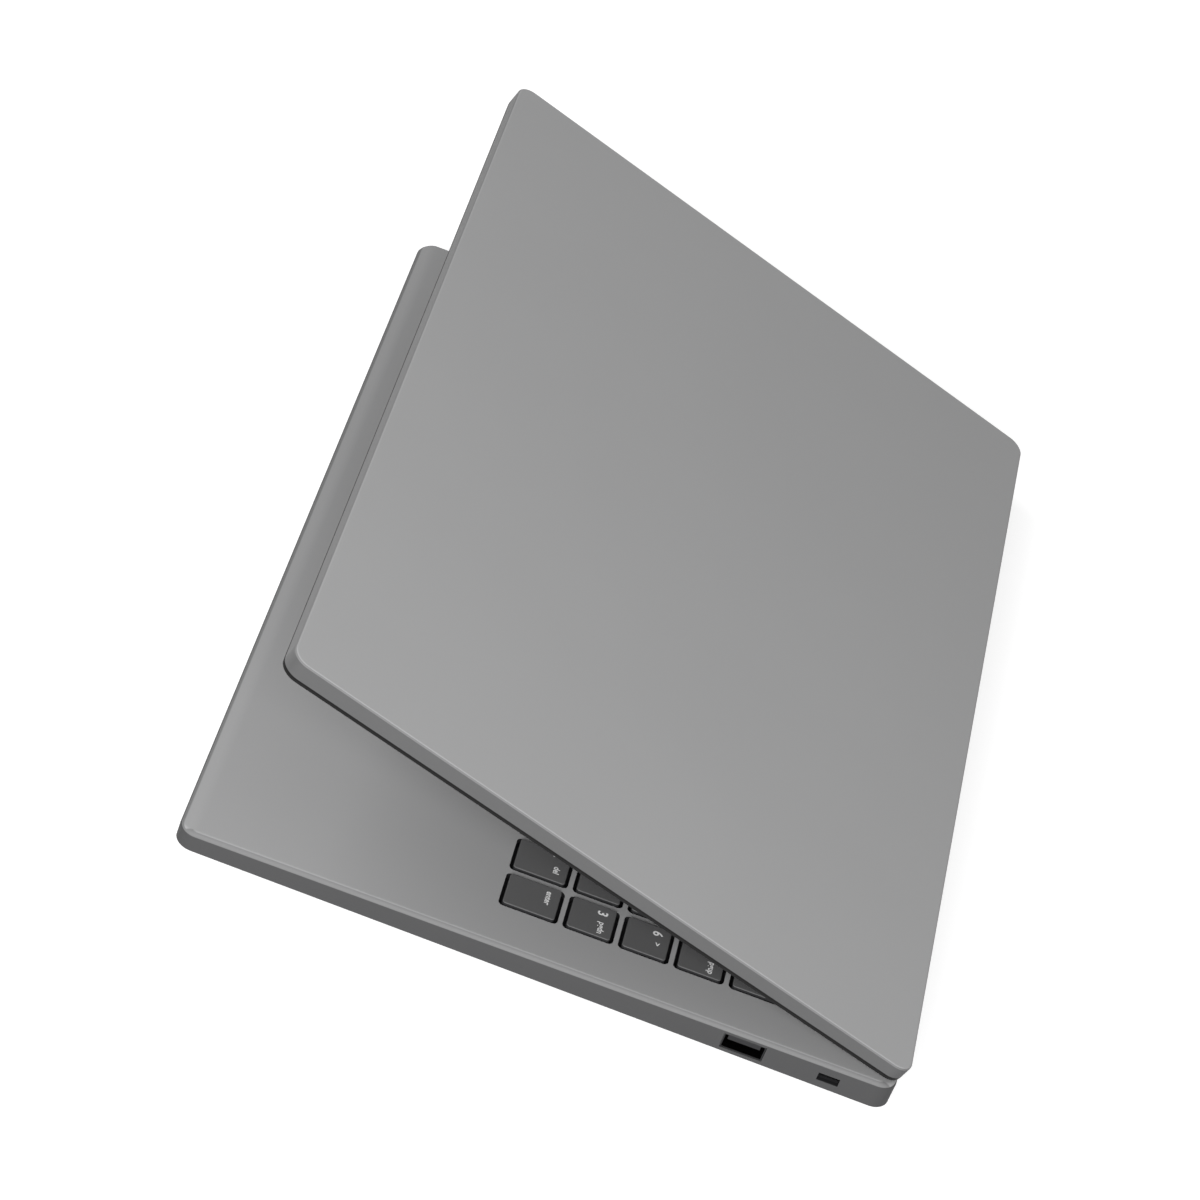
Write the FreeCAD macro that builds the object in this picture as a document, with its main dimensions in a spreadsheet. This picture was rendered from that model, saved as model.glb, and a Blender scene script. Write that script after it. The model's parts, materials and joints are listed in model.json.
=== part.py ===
import FreeCAD, Part
import math
import os
import re

import Sketcher
from FreeCAD import Placement, Rotation, Vector

# A clamshell laptop computer, 15.6 inch class, with its lid partly open.
# The origin is on the table under the middle of the base. X runs to the user's right, Y to the hinges, Z up.
# The lid's pieces are drawn shut and then swung about the hinge axis by lid_angle.

# Driving dimensions, in millimetres and degrees
SIZES = {
    # base shells
    "base_width": 360.0,
    "base_depth": 235.0,
    "base_height": 14.0,
    "corner_radius": 6.0,
    "foot_height": 1.5,
    "wall_front": 7.2,
    "wall_rear": 10.2,
    "shell_wall": 1.6,
    "deck_thickness": 2.0,
    "deck_edge_round": 1.5,
    "lip_width": 5.0,
    "lip_drop": 1.3,
    "lip_round": 10.0,
    "pan_inset": 12.0,
    "pan_corner": 5.0,
    "seam_step": 0.4,
    "tray_drop": 2.5,
    "rib_wall": 1.5,
    "rib_margin": 1.5,
    "plate_thickness": 0.8,
    # keyboard
    "keyboard_from_rear": 28.2,
    "keyboard_from_side": 17.9,
    "key_pitch_y": 18.35,
    "key_gap_x": 1.8,
    "key_gap_y": 1.6,
    "keypad_share": 0.949,
    "keypad_space": 2.5,
    "front_row_depth": 19.5,
    "function_row_depth": 11.9,
    "key_clearance_x": 0.7,
    "key_clearance_y": 1.2,
    "key_proud": 0.8,
    "key_height": 3.0,
    "key_corner": 1.0,
    "key_edge_round": 0.3,
    "dome_radius": 2.6,
    "dome_tip_radius": 1.6,
    "dome_gap": 0.05,
    "dome_sheet_thickness": 0.3,
    # touchpad
    "touchpad_width": 105.0,
    "touchpad_offset": -20.0,
    "touchpad_from_front": 16.5,
    "touchpad_from_keys": 15.9,
    "touchpad_gap": 0.4,
    "touchpad_sink": 0.1,
    "touchpad_thickness": 1.6,
    "pivot_radius": 0.6,
    "pivot_clearance": 0.05,
    "pivot_drop": 1.4,
    "pivot_ear_width": 2.0,
    "pivot_side_gap": 0.3,
    "pivot_from_edge": 3.0,
    "pivot_from_side": 8.0,
    "pivot_ear_wall": 0.6,
    "switch_width": 12.0,
    "switch_depth": 4.0,
    "switch_from_edge": 4.0,
    "click_gap": 0.65,
    # hinges
    "hinge_setback": 1.0,
    "hinge_rise": 0.6,
    "hinge_from_side": 84.0,
    "hinge_play": 0.6,
    "hinge_sleeve_length": 30.0,
    "hinge_ring_length": 5.0,
    "hinge_ear_radius": 2.3,
    "hinge_pin_radius": 1.2,
    "hinge_pin_clearance": 0.05,
    "hinge_sleeve_radius": 3.1,
    "hinge_sleeve_wall": 0.6,
    "hinge_notch_gap": 1.1,
    "hinge_plate_thickness": 1.2,
    "hinge_plate_length": 30.0,
    "hinge_plate_depth": 15.0,
    "hinge_arm_length": 23.0,
    "hinge_screw_radius": 0.9,
    "hinge_screw_head": 2.1,
    "hinge_screw_head_height": 0.5,
    "hinge_screw_grip": 1.2,
    "screw_clearance": 0.05,
    # lid
    "lid_angle": 17.415,
    "lid_depth": 232.5,
    "lid_gap": 1.2,
    "lid_thickness_front": 7.7,
    "lid_thickness_rear": 6.4,
    "lid_wall": 1.6,
    "lid_edge_round": 0.8,
    "bezel_thickness": 1.0,
    "bezel_inset": 0.1,
    "bezel_edge_round": 0.4,
    "window_from_side": 7.9,
    "window_from_rear": 29.5,
    "window_from_edge": 9.4,
    "panel_margin": 4.0,
    "panel_thickness": 3.0,
    "camera_radius": 1.6,
    "camera_clearance": 0.1,
    "camera_width": 60.0,
    "camera_depth": 3.0,
    "camera_height": 2.0,
    "bumper_radius": 1.6,
    "bumper_from_side": 13.0,
    "bumper_from_rear": 16.0,
    "bumper_gap": 0.2,
    # boards and what they carry
    "board_rise": 3.0,
    "board_thickness": 1.2,
    "board_edge_gap": 7.0,
    "board_from_rear": 25.5,
    "board_depth": 88.0,
    "board_fan_gap": 4.0,
    "board_boss_radius": 2.5,
    "board_boss_inset": 7.0,
    "chip_height": 1.0,
    "processor_x": -42.0,
    "processor_from_rear": 67.5,
    "processor_width": 28.0,
    "processor_depth": 24.0,
    "cold_plate_width": 36.0,
    "cold_plate_depth": 32.0,
    "cold_plate_floor": 0.4,
    "memory_chip_width": 11.0,
    "memory_chip_depth": 9.0,
    "memory_chip_pitch": 13.0,
    "memory_from_processor": 34.0,
    "pipe_width": 7.0,
    "pipe_height": 1.2,
    "pipe_clearance": 0.05,
    "pipe_bend": 10.0,
    "pipe_overhang": 3.0,
    "card_lift": 0.8,
    "card_thickness": 0.8,
    "card_chip_height": 0.9,
    "card_socket": 5.0,
    "card_post_radius": 1.6,
    "drive_length": 80.0,
    "drive_width": 22.0,
    "drive_from_front": 12.0,
    "wireless_length": 30.0,
    "wireless_width": 22.0,
    "wireless_from_side": 60.0,
    "wireless_from_rear": 81.5,
    "ribbon_width": 10.0,
    "ribbon_thickness": 0.3,
    "ribbon_overlap": 6.0,
    "display_cable_width": 4.0,
    "fan_x": 40.0,
    "fan_from_rear": 46.5,
    "fan_width": 56.0,
    "fan_height": 6.5,
    "fan_wall": 0.8,
    "fan_inlet_radius": 16.0,
    "rotor_radius": 25.0,
    "rotor_gap": 0.5,
    "rotor_hub_radius": 9.0,
    "rotor_hub_wall": 1.2,
    "rotor_shaft_radius": 1.0,
    "rotor_shaft_clearance": 0.05,
    "rotor_post_radius": 2.5,
    "rotor_blade_thickness": 0.6,
    "fin_pitch": 2.2,
    "fin_thickness": 0.5,
    "fin_depth": 10.0,
    "fin_lift": 2.0,
    "fin_gap": 0.8,
    "battery_from_side": 60.0,
    "battery_depth": 64.0,
    "battery_height": 5.4,
    "battery_groove": 1.2,
    "battery_from_front": 21.0,
    "speaker_width": 20.0,
    "speaker_depth": 56.0,
    "speaker_height": 4.6,
    "speaker_from_side": 21.0,
    "speaker_from_front": 25.0,
    "speaker_cone_radius": 7.0,
    "speaker_cone_depth": 1.0,
    # sockets
    "port_depth": 14.0,
    "port_wall": 0.3,
    "port_clearance": 0.15,
    "port_lift": 0.05,
    "port_recess": 0.3,
    "port_back": 1.2,
    "port_collar": 0.6,
    "tongue_setback": 1.2,
    "type_a_width": 13.6,
    "type_a_height": 5.6,
    "type_a_tongue_width": 10.6,
    "type_a_tongue_height": 1.9,
    "type_a_tongue_rise": 0.8,
    "type_a_right_from_rear": 48.8,
    "type_a_left_from_rear": 79.5,
    "video_width": 15.0,
    "video_height": 5.5,
    "video_tongue_width": 10.8,
    "video_tongue_height": 0.9,
    "video_from_rear": 55.5,
    "type_c_width": 8.9,
    "type_c_height": 3.2,
    "type_c_tongue_width": 6.2,
    "type_c_tongue_height": 0.7,
    "type_c_from_rear": 99.5,
    "audio_radius": 1.8,
    "audio_body": 5.6,
    "audio_from_rear": 111.5,
    "power_radius": 2.25,
    "power_body": 6.0,
    "power_pin_radius": 0.4,
    "power_from_rear": 33.5,
    "bore_depth": 11.0,
    "lock_from_rear": 20.6,
    "lock_width": 7.0,
    "lock_height": 3.0,
    "lock_drop": 5.8,
    "lock_plate_thickness": 1.2,
    "lock_plate_margin": 4.0,
    # openings for air and sound
    "vent_width": 2.6,
    "vent_pitch": 4.6,
    "vent_height": 4.0,
    "vent_from_seam": 2.0,
    "intake_length": 34.0,
    "slot_width": 2.0,
    "slot_pitch": 4.0,
    "speaker_slot_length": 8.0,
    # feet and screws
    "foot_length": 46.0,
    "foot_width": 9.0,
    "foot_from_side": 34.0,
    "foot_from_end": 24.0,
    "foot_corner": 4.0,
    "screw_radius": 1.2,
    "screw_head_radius": 2.4,
    "screw_head_height": 0.9,
    "screw_grip": 4.0,
    "screw_boss_radius": 3.0,
    "screw_from_end": 20.0,
    "screw_from_side": 20.0,
    "screw_from_battery": 9.0,
    "screw_from_keys": 9.3,
    "screw_from_hinge": 14.0,
    "screw_head_sink": 0.1,
}

# Counts, and the key widths of each row in units of the key pitch
KEYPAD_COLUMNS = 3
FULL_ROWS = 4
BLADES = 23
VENTS = 11
INTAKE_SLOTS = 9
SPEAKER_SLOTS = 7
BATTERY_CELLS = 4
FINS = 23
MEMORY_CHIPS = 4
SIDES = ((1, "right"), (-1, "left"))
MAIN_UNITS = 14.5
FUNCTION_KEYS = 15
SPACE_KEY = 4
SPLIT_KEY = 8
KEY_ROWS = {
    "front": (1.25, 1, 1, 1, 5, 1, 1.25, 1, 1, 1),
    "lower": (2.25,) + (1,) * 10 + (2.25,),
    "home": (1.75,) + (1,) * 11 + (1.75,),
    "upper": (1.5,) + (1,) * 13,
    "number": (1,) * 13 + (1.5,),
    "function": (MAIN_UNITS / FUNCTION_KEYS,) * FUNCTION_KEYS,
}
OVERSHOOT = 1.0

# Levels and faces that several pieces share, as formulas
SIDE = "(base_width/2)"
REAR = "(base_depth/2)"
DECK = "(foot_height + base_height)"
DECK_UNDER = f"({DECK} - deck_thickness)"
TRAY = f"({DECK_UNDER} - tray_drop)"
FLOOR = "(foot_height + shell_wall)"
BOARD_UNDER = f"({FLOOR} + board_rise)"
BOARD_TOP = f"({BOARD_UNDER} + board_thickness)"
PIPE_BOTTOM = f"({BOARD_TOP} + chip_height + cold_plate_floor + pipe_clearance)"
HINGE_Y = f"({REAR} - hinge_setback)"
HINGE_Z = f"({DECK} + hinge_rise)"
NOTCH = "(hinge_sleeve_radius + hinge_notch_gap)"
HINGE_X = f"({SIDE} - hinge_from_side)"
SLEEVE_START = f"({HINGE_X} + hinge_play)"
SLEEVE_END = f"({SLEEVE_START} + hinge_sleeve_length)"
RING_START = f"({SLEEVE_END} + hinge_play)"
RING_END = f"({RING_START} + hinge_ring_length)"
NOTCH_END = f"({RING_END} + hinge_play)"
HINGE_PLATE_UNDER = f"({DECK_UNDER} - hinge_plate_thickness)"
LID_UNDER = f"({DECK} + lid_gap)"
LID_FACE = f"({LID_UNDER} + bezel_thickness)"
LID_CEILING = f"({LID_UNDER} + lid_thickness_rear - lid_wall)"
LID_FRONT = f"({REAR} - lid_depth)"
WINDOW_WIDTH = "(base_width - 2*window_from_side)"
WINDOW_DEPTH = "(lid_depth - window_from_edge - window_from_rear)"
BATTERY_WIDTH = "(base_width - 2*battery_from_side)"
ARM_UNDER = f"({LID_FACE} + hinge_screw_head_height + screw_clearance)"
ARM_TOP = f"({ARM_UNDER} + hinge_plate_thickness)"
KEYBOARD_WIDTH = "(base_width - 2*keyboard_from_side)"
KEYBOARD_DEPTH = f"(front_row_depth + {FULL_ROWS}*key_pitch_y + key_gap_y + function_row_depth)"
KEYBOARD_FRONT = f"({REAR} - keyboard_from_rear - {KEYBOARD_DEPTH})"
TOUCHPAD_FRONT = f"(touchpad_from_front - {REAR})"
TOUCHPAD_REAR = f"({KEYBOARD_FRONT} - touchpad_from_keys)"
TOUCHPAD_TOP = f"({DECK} - touchpad_sink)"
TOUCHPAD_UNDER = f"({TOUCHPAD_TOP} - touchpad_thickness)"
PIVOT_Y = f"({TOUCHPAD_REAR} - pivot_from_edge)"
PIVOT_Z = f"({TOUCHPAD_UNDER} - pivot_drop)"
FAN_TOP = f"({FLOOR} + fan_height)"
BOARD_REAR = f"({REAR} - board_from_rear)"
BOARD_FRONT = f"({BOARD_REAR} - board_depth)"
WIRELESS_X = f"(wireless_from_side - {SIDE})"
PROCESSOR_Y = f"({REAR} - processor_from_rear)"
WIRELESS_Y = f"({REAR} - wireless_from_rear)"
FAN_Y = f"({REAR} - fan_from_rear)"
TYPE_A_RIGHT_Y = f"({REAR} - type_a_right_from_rear)"
TYPE_A_LEFT_Y = f"({REAR} - type_a_left_from_rear)"
VIDEO_Y = f"({REAR} - video_from_rear)"
TYPE_C_Y = f"({REAR} - type_c_from_rear)"
AUDIO_Y = f"({REAR} - audio_from_rear)"
POWER_Y = f"({REAR} - power_from_rear)"
LOCK_Y = f"({REAR} - lock_from_rear)"
FIN_FRONT = f"({FAN_Y} + fan_width/2 + fin_gap)"
FIN_TOP = f"({PIPE_BOTTOM} - pipe_clearance)"
PORT_BASE = f"({BOARD_TOP} + port_lift)"

doc = FreeCAD.newDocument("Laptop")
sheet = doc.addObject("Spreadsheet::Sheet", "Sizes")
for row, (alias, value) in enumerate(SIZES.items(), 1):
    sheet.set(f"A{row}", alias)
    sheet.set(f"B{row}", str(value))
    sheet.setAlias(f"B{row}", alias)
doc.recompute()

SIZE_NAME = re.compile(r"[a-z][a-z_]+")


def formula(text):
    """Write a formula of size names as one that the document's objects can read."""
    return SIZE_NAME.sub(
        lambda found: f"Sizes.{found.group()}" if found.group() in SIZES else found.group(), str(text)
    )


def size(alias):
    """Read one driving dimension from the sheet."""
    return float(sheet.get(alias))


def bind(item, **links):
    """Bind properties, named with _ for each dot, to formulas."""
    for prop, text in links.items():
        item.setExpression(prop.replace("_", "."), formula(text))


def span(low, high):
    """Give the formula of the distance between two formulas."""
    return f"({high}) - ({low})"


def on_side(pair, side):
    """Turn a range drawn on the right into the same range on either side."""
    low, high = pair
    return (low, high) if side > 0 else (f"-({high})", f"-({low})")


def about(middle, width):
    """Give a range of a width about a middle."""
    return (f"{middle} - ({width})/2", f"{middle} + ({width})/2")


def box(name, x, y, z):
    """Make a block between three pairs of formulas."""
    item = doc.addObject("Part::Box", name)
    bind(item, Length=span(*x), Width=span(*y), Height=span(*z))
    bind(item, Placement_Base_x=x[0], Placement_Base_y=y[0], Placement_Base_z=z[0])
    return item


TURNS = {
    "X": Rotation(Vector(0, 1, 0), 90),
    "Z": Rotation(),
}


def rod(name, axis, radius, along, across):
    """Make a round rod along an axis, between a pair of formulas, at a pair of coordinates across it."""
    item = doc.addObject("Part::Cylinder", name)
    item.Placement = Placement(Vector(), TURNS[axis])
    bind(item, Radius=radius, Height=span(*along))
    if axis == "X":
        bind(item, Placement_Base_x=along[0], Placement_Base_y=across[0], Placement_Base_z=across[1])
    else:
        bind(item, Placement_Base_x=across[0], Placement_Base_y=across[1], Placement_Base_z=along[0])
    return item


def fuse(name, items):
    """Join touching shapes into one."""
    item = doc.addObject("Part::MultiFuse", name)
    item.Shapes = items
    return item


def group(name, items):
    """Keep separate solids together under one name."""
    item = doc.addObject("Part::Compound", name)
    item.Links = items
    return item


def cut(name, base, tool):
    """Take one shape out of another."""
    item = doc.addObject("Part::Cut", name)
    item.Base = base
    item.Tool = tool
    return item


def shaped(name, shape):
    """Hold a shape that a loop of the sheet's sizes made."""
    item = doc.addObject("Part::Feature", name)
    item.Shape = shape
    item.Placement = Placement()
    return item


def on_lid(item):
    """Swing a piece that was drawn with the lid shut to the lid's open place."""
    bind(item, Placement_Rotation_Axis_x=1, Placement_Rotation_Axis_y=0, Placement_Rotation_Axis_z=0)
    bind(item, Placement_Rotation_Angle="-lid_angle")
    bind(
        item,
        Placement_Base_y=f"{HINGE_Y}*(1 - cos(lid_angle)) - {HINGE_Z}*sin(lid_angle)",
        Placement_Base_z=f"{HINGE_Z}*(1 - cos(lid_angle)) + {HINGE_Y}*sin(lid_angle)",
    )
    return item


def sketch_on(body, name, plane, height="0"):
    """Start a sketch on one of a body's own origin planes, lifted off it by a formula."""
    sketch = body.newObject("Sketcher::SketchObject", name)
    support = next(item for item in body.Origin.OriginFeatures if item.Role == plane)
    sketch.AttachmentSupport = [(support, "")]
    sketch.MapMode = "FlatFace"
    bind(sketch, AttachmentOffset_Base_z=height)
    return sketch


def constrain(sketch, text, *constraint):
    """Add a dimension to a sketch and bind it to a formula."""
    index = sketch.addConstraint(Sketcher.Constraint(*constraint))
    sketch.setExpression(f"Constraints[{index}]", formula(text))


def polygon(sketch, corners):
    """Draw a closed polygon whose corners are pairs of formulas."""
    first = sketch.GeometryCount
    count = len(corners)
    ring = [
        Vector(math.cos(math.tau * step / count), math.sin(math.tau * step / count), 0)
        for step in range(count)
    ]
    for step in range(count):
        sketch.addGeometry(Part.LineSegment(ring[step], ring[(step + 1) % count]))
    for step in range(count):
        following = first + (step + 1) % count
        sketch.addConstraint(Sketcher.Constraint("Coincident", first + step, 2, following, 1))
    for step, (across, up) in enumerate(corners):
        constrain(sketch, across, "DistanceX", -1, 1, first + step, 1, ring[step].x)
        constrain(sketch, up, "DistanceY", -1, 1, first + step, 1, ring[step].y)


def rectangle(sketch, x, y):
    """Draw a rectangle between two pairs of formulas."""
    polygon(sketch, [(x[0], y[0]), (x[1], y[0]), (x[1], y[1]), (x[0], y[1])])


def rounded_rectangle(sketch, width, depth, radius, middle="0", across="0"):
    """Draw a rectangle with round corners about a middle along and a middle across."""
    half, reach, bend = 30.0, 20.0, 5.0
    inner, outer = half - bend, reach - bend
    sides = (
        ((-inner, -reach), (inner, -reach)),
        ((half, -outer), (half, outer)),
        ((inner, reach), (-inner, reach)),
        ((-half, outer), (-half, -outer)),
    )
    centres = ((inner, -outer), (inner, outer), (-inner, outer), (-inner, -outer))
    for turn in range(4):
        start, end = (Vector(*point, 0) for point in sides[turn])
        sketch.addGeometry(Part.LineSegment(start, end))
        circle = Part.Circle(Vector(*centres[turn], 0), Vector(0, 0, 1), bend)
        angle = (turn - 1) * math.pi / 2
        sketch.addGeometry(Part.ArcOfCircle(circle, angle, angle + math.pi / 2))
    for edge in range(8):
        sketch.addConstraint(Sketcher.Constraint("Tangent", edge, 2, (edge + 1) % 8, 1))
    for kind, edge in (("Horizontal", 0), ("Vertical", 2), ("Horizontal", 4), ("Vertical", 6)):
        sketch.addConstraint(Sketcher.Constraint(kind, edge))
    for edge in (3, 5, 7):
        sketch.addConstraint(Sketcher.Constraint("Equal", 1, edge))
    constrain(sketch, radius, "Radius", 1, bend)
    constrain(sketch, width, "DistanceX", 6, 1, 2, 1, 2 * half)
    constrain(sketch, depth, "DistanceY", 0, 1, 4, 1, 2 * reach)
    constrain(sketch, f"{across} + ({width})/2", "DistanceX", -1, 1, 2, 1, half)
    constrain(sketch, f"{middle} + ({depth})/2", "DistanceY", -1, 1, 4, 1, reach)


def pad(body, sketch, length):
    """Raise a sketch into a solid."""
    feature = body.newObject("PartDesign::Pad", f"{sketch.Name}_pad")
    feature.Profile = sketch
    bind(feature, Length=length)
    doc.recompute()
    return feature


def pocket(body, sketch, length=None):
    """Cut a sketch upwards for a length, or sideways through the whole body."""
    before = body.Shape.Volume
    feature = body.newObject("PartDesign::Pocket", f"{sketch.Name}_pocket")
    feature.Profile = sketch
    if length is None:
        feature.Type = "ThroughAll"
        feature.SideType = "Symmetric"
    else:
        feature.Reversed = True
        bind(feature, Length=length)
    doc.recompute()
    if body.Shape.Volume >= before:
        raise RuntimeError(f"{sketch.Name} cuts nothing")
    return feature


def round_edges(body, name, radius, chosen):
    """Round those edges of a body that a test chooses."""
    base = body.Tip
    edges = [f"Edge{place}" for place, edge in enumerate(base.Shape.Edges, 1) if chosen(edge)]
    feature = body.newObject("PartDesign::Fillet", name)
    feature.Base = (base, edges)
    bind(feature, Radius=radius)
    doc.recompute()
    return feature


def middle_of(edge):
    """Give the point half way along an edge."""
    return edge.valueAt((edge.FirstParameter + edge.LastParameter) / 2)


def on_outline(point, width, depth, radius, middle):
    """Tell whether a point lies on a rounded rectangle, seen from above."""
    across = max(abs(point.x) - (width / 2 - radius), 0)
    along = max(abs(point.y - middle) - (depth / 2 - radius), 0)
    return abs(math.hypot(across, along) - radius) < 0.01


def key_places():
    """Give each key's node, well and row as low and high corners on the deck."""
    gap_x, gap_y = size("key_gap_x"), size("key_gap_y")
    left = size("keyboard_from_side") - size("base_width") / 2
    room = gap_x - size("keypad_space") - 2 * left
    pitch = room / (MAIN_UNITS + KEYPAD_COLUMNS * size("keypad_share"))
    keypad_pitch = pitch * size("keypad_share")
    main_width = MAIN_UNITS * pitch + size("keypad_space")
    depth_of_rows = size("front_row_depth") + FULL_ROWS * size("key_pitch_y")
    depth_of_rows += gap_y + size("function_row_depth")
    front = size("base_depth") / 2 - size("keyboard_from_rear") - depth_of_rows
    places = []
    for row, units in KEY_ROWS.items():
        depth = size("key_pitch_y") - gap_y
        if row == "front":
            depth = size("front_row_depth")
        if row == "function":
            depth = size("function_row_depth")
        back = front + depth
        start = left
        for index, width in enumerate(units):
            end = start + width * pitch - gap_x
            node = f"keys_{row}_row"
            if row == "front" and index == SPACE_KEY:
                node = "space_bar"
            if row == "front" and index == SPLIT_KEY:
                half = (depth - gap_y / 2) / 2
                places.append((node, start, end, front, front + half))
                places.append((node, start, end, back - half, back))
            else:
                places.append((node, start, end, front, back))
            start += width * pitch
        for column in range(KEYPAD_COLUMNS):
            start = left + main_width + column * keypad_pitch
            node = f"keypad_{row}_row"
            if row == "function":
                node = "power_button" if column == KEYPAD_COLUMNS - 1 else "keys_function_row"
            places.append((node, start, start + keypad_pitch - gap_x, front, back))
        front = back + gap_y
    return places


def rounded_block(low, high, corner, top_round=0):
    """Make a block with round upright edges and, if asked, round top edges."""
    block = Part.makeBox(*(high - low), low)
    upright = [edge for edge in block.Edges if edge.BoundBox.ZLength > (high.z - low.z) / 2]
    block = block.makeFillet(corner, upright)
    if top_round:
        rim = [edge for edge in block.Edges if edge.BoundBox.ZMin > high.z - top_round / 2]
        block = block.makeFillet(top_round, rim)
    return block


def build_keys():
    """Make the key caps, row by row, as separate solids."""
    top = size("foot_height") + size("base_height") + size("key_proud")
    bottom = top - size("key_height")
    gap = Vector(size("key_clearance_x"), size("key_clearance_y"), 0)
    rows = {}
    for node, x_low, x_high, y_low, y_high in key_places():
        low = Vector(x_low, y_low, bottom) + gap
        high = Vector(x_high, y_high, top) - gap
        cap = rounded_block(low, high, size("key_corner"), size("key_edge_round"))
        rows.setdefault(node, []).append(cap)
    return [shaped(node, Part.makeCompound(caps)) for node, caps in rows.items()]


def key_wells():
    """Make the shapes that cut the key wells through the deck."""
    deck = size("foot_height") + size("base_height")
    corner = size("key_corner") + size("key_clearance_x")
    wells = []
    for _, x_low, x_high, y_low, y_high in key_places():
        low = Vector(x_low, y_low, deck - size("deck_thickness") - OVERSHOOT)
        wells.append(rounded_block(low, Vector(x_high, y_high, deck + OVERSHOOT), corner))
    return shaped("key_wells", Part.makeCompound(wells))


def build_dome_sheet():
    """Make the rubber sheet with a dome under every key."""
    places = key_places()
    tray = size("foot_height") + size("base_height") - size("deck_thickness") - size("tray_drop")
    sheet_top = tray + size("dome_sheet_thickness")
    caps = size("foot_height") + size("base_height") + size("key_proud") - size("key_height")
    low = Vector(min(place[1] for place in places), min(place[3] for place in places), tray)
    high = Vector(max(place[2] for place in places), max(place[4] for place in places), sheet_top)
    domes = []
    for _, x_low, x_high, y_low, y_high in places:
        foot = Vector((x_low + x_high) / 2, (y_low + y_high) / 2, sheet_top)
        rise = caps - size("dome_gap") - sheet_top
        domes.append(Part.makeCone(size("dome_radius"), size("dome_tip_radius"), rise, foot))
    sheet_block = Part.makeBox(*(high - low), low)
    return shaped("key_dome_sheet", sheet_block.multiFuse(domes))


def keyboard_rib(margin):
    """Give the outline of the rib about the keyboard, at a margin outside the wells."""
    x = about("0", f"{KEYBOARD_WIDTH} + 2*({margin})")
    y = (f"{KEYBOARD_FRONT} - ({margin})", f"{KEYBOARD_FRONT} + {KEYBOARD_DEPTH} + ({margin})")
    return x, y


def touchpad_outline(margin):
    """Give the outline of the touchpad at a margin outside it."""
    x = about("touchpad_offset", f"touchpad_width + 2*({margin})")
    return x, (f"{TOUCHPAD_FRONT} - ({margin})", f"{TOUCHPAD_REAR} + ({margin})")


def build_top_case_shell():
    """Make the deck with its side walls, ribs and touchpad opening."""
    body = doc.addObject("PartDesign::Body", "top_case_shell")
    outline = sketch_on(body, "case_outline", "XY_Plane", f"{DECK} - wall_rear")
    rounded_rectangle(outline, "base_width", "base_depth", "corner_radius")
    pad(body, outline, "wall_rear")
    slope = sketch_on(body, "parting_slope", "YZ_Plane")
    low = f"{DECK} - wall_rear - {OVERSHOOT}"
    polygon(
        slope,
        [
            (f"-{REAR}", f"{DECK} - wall_front"),
            (f"-{REAR}", low),
            (REAR, low),
            (REAR, f"{DECK} - wall_rear"),
        ],
    )
    pocket(body, slope)
    lips = sketch_on(body, "edge_lips", "YZ_Plane")
    for end in ("-", ""):
        polygon(
            lips,
            [
                (f"{end}{REAR}", f"{DECK} - lip_drop"),
                (f"{end}({REAR} - lip_width)", DECK),
                (f"{end}({REAR} - lip_width)", f"{DECK} + {OVERSHOOT}"),
                (f"{end}{REAR}", f"{DECK} + {OVERSHOOT}"),
            ],
        )
    pocket(body, lips)
    deck = size("foot_height") + size("base_height")
    crease = size("base_depth") / 2 - size("lip_width")
    round_edges(
        body,
        "lip_creases",
        "lip_round",
        lambda edge: abs(middle_of(edge).z - deck) < 0.01 and abs(abs(middle_of(edge).y) - crease) < 0.01
        and abs(middle_of(edge).x) < 0.01,
    )
    rim = (size("base_width"), size("base_depth"), size("corner_radius"), 0)
    lowest = deck - size("lip_drop") - 0.01
    round_edges(
        body,
        "deck_rim",
        "deck_edge_round",
        lambda edge: edge.BoundBox.ZMin > lowest and on_outline(middle_of(edge), *rim),
    )
    hollow = sketch_on(body, "case_hollow", "XY_Plane", f"{DECK} - wall_rear")
    rounded_rectangle(
        hollow, "base_width - 2*shell_wall", "base_depth - 2*shell_wall", "corner_radius - shell_wall"
    )
    pocket(body, hollow, "wall_rear - deck_thickness")
    ribs = sketch_on(body, "tray_ribs", "XY_Plane", TRAY)
    rectangle(ribs, *keyboard_rib("rib_margin + rib_wall"))
    rectangle(ribs, *keyboard_rib("rib_margin"))
    rectangle(ribs, *touchpad_outline("rib_margin + rib_wall"))
    rectangle(ribs, *touchpad_outline("rib_margin"))
    pad(body, ribs, "tray_drop + deck_thickness/2")
    opening = sketch_on(body, "touchpad_opening", "XY_Plane", f"{DECK_UNDER} - {OVERSHOOT}")
    rectangle(opening, *touchpad_outline("touchpad_gap"))
    pocket(body, opening, f"deck_thickness + 2*{OVERSHOOT}")
    return body


def screw_places():
    """Give the places of the screws that hold the bottom cover."""
    places = []
    for side in ("", "-"):
        places.append((f"{side}({SIDE} - screw_from_side)", f"{REAR} - screw_from_end"))
        places.append((f"{side}({HINGE_X} - screw_from_hinge)", f"{REAR} - screw_from_end"))
        places.append((f"{side}({BATTERY_WIDTH}/2 + screw_from_battery)", f"screw_from_end - {REAR}"))
        x = f"{side}({BATTERY_WIDTH}/2 + screw_from_battery)"
        places.append((x, f"{KEYBOARD_FRONT} - screw_from_keys"))
    return places


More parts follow.
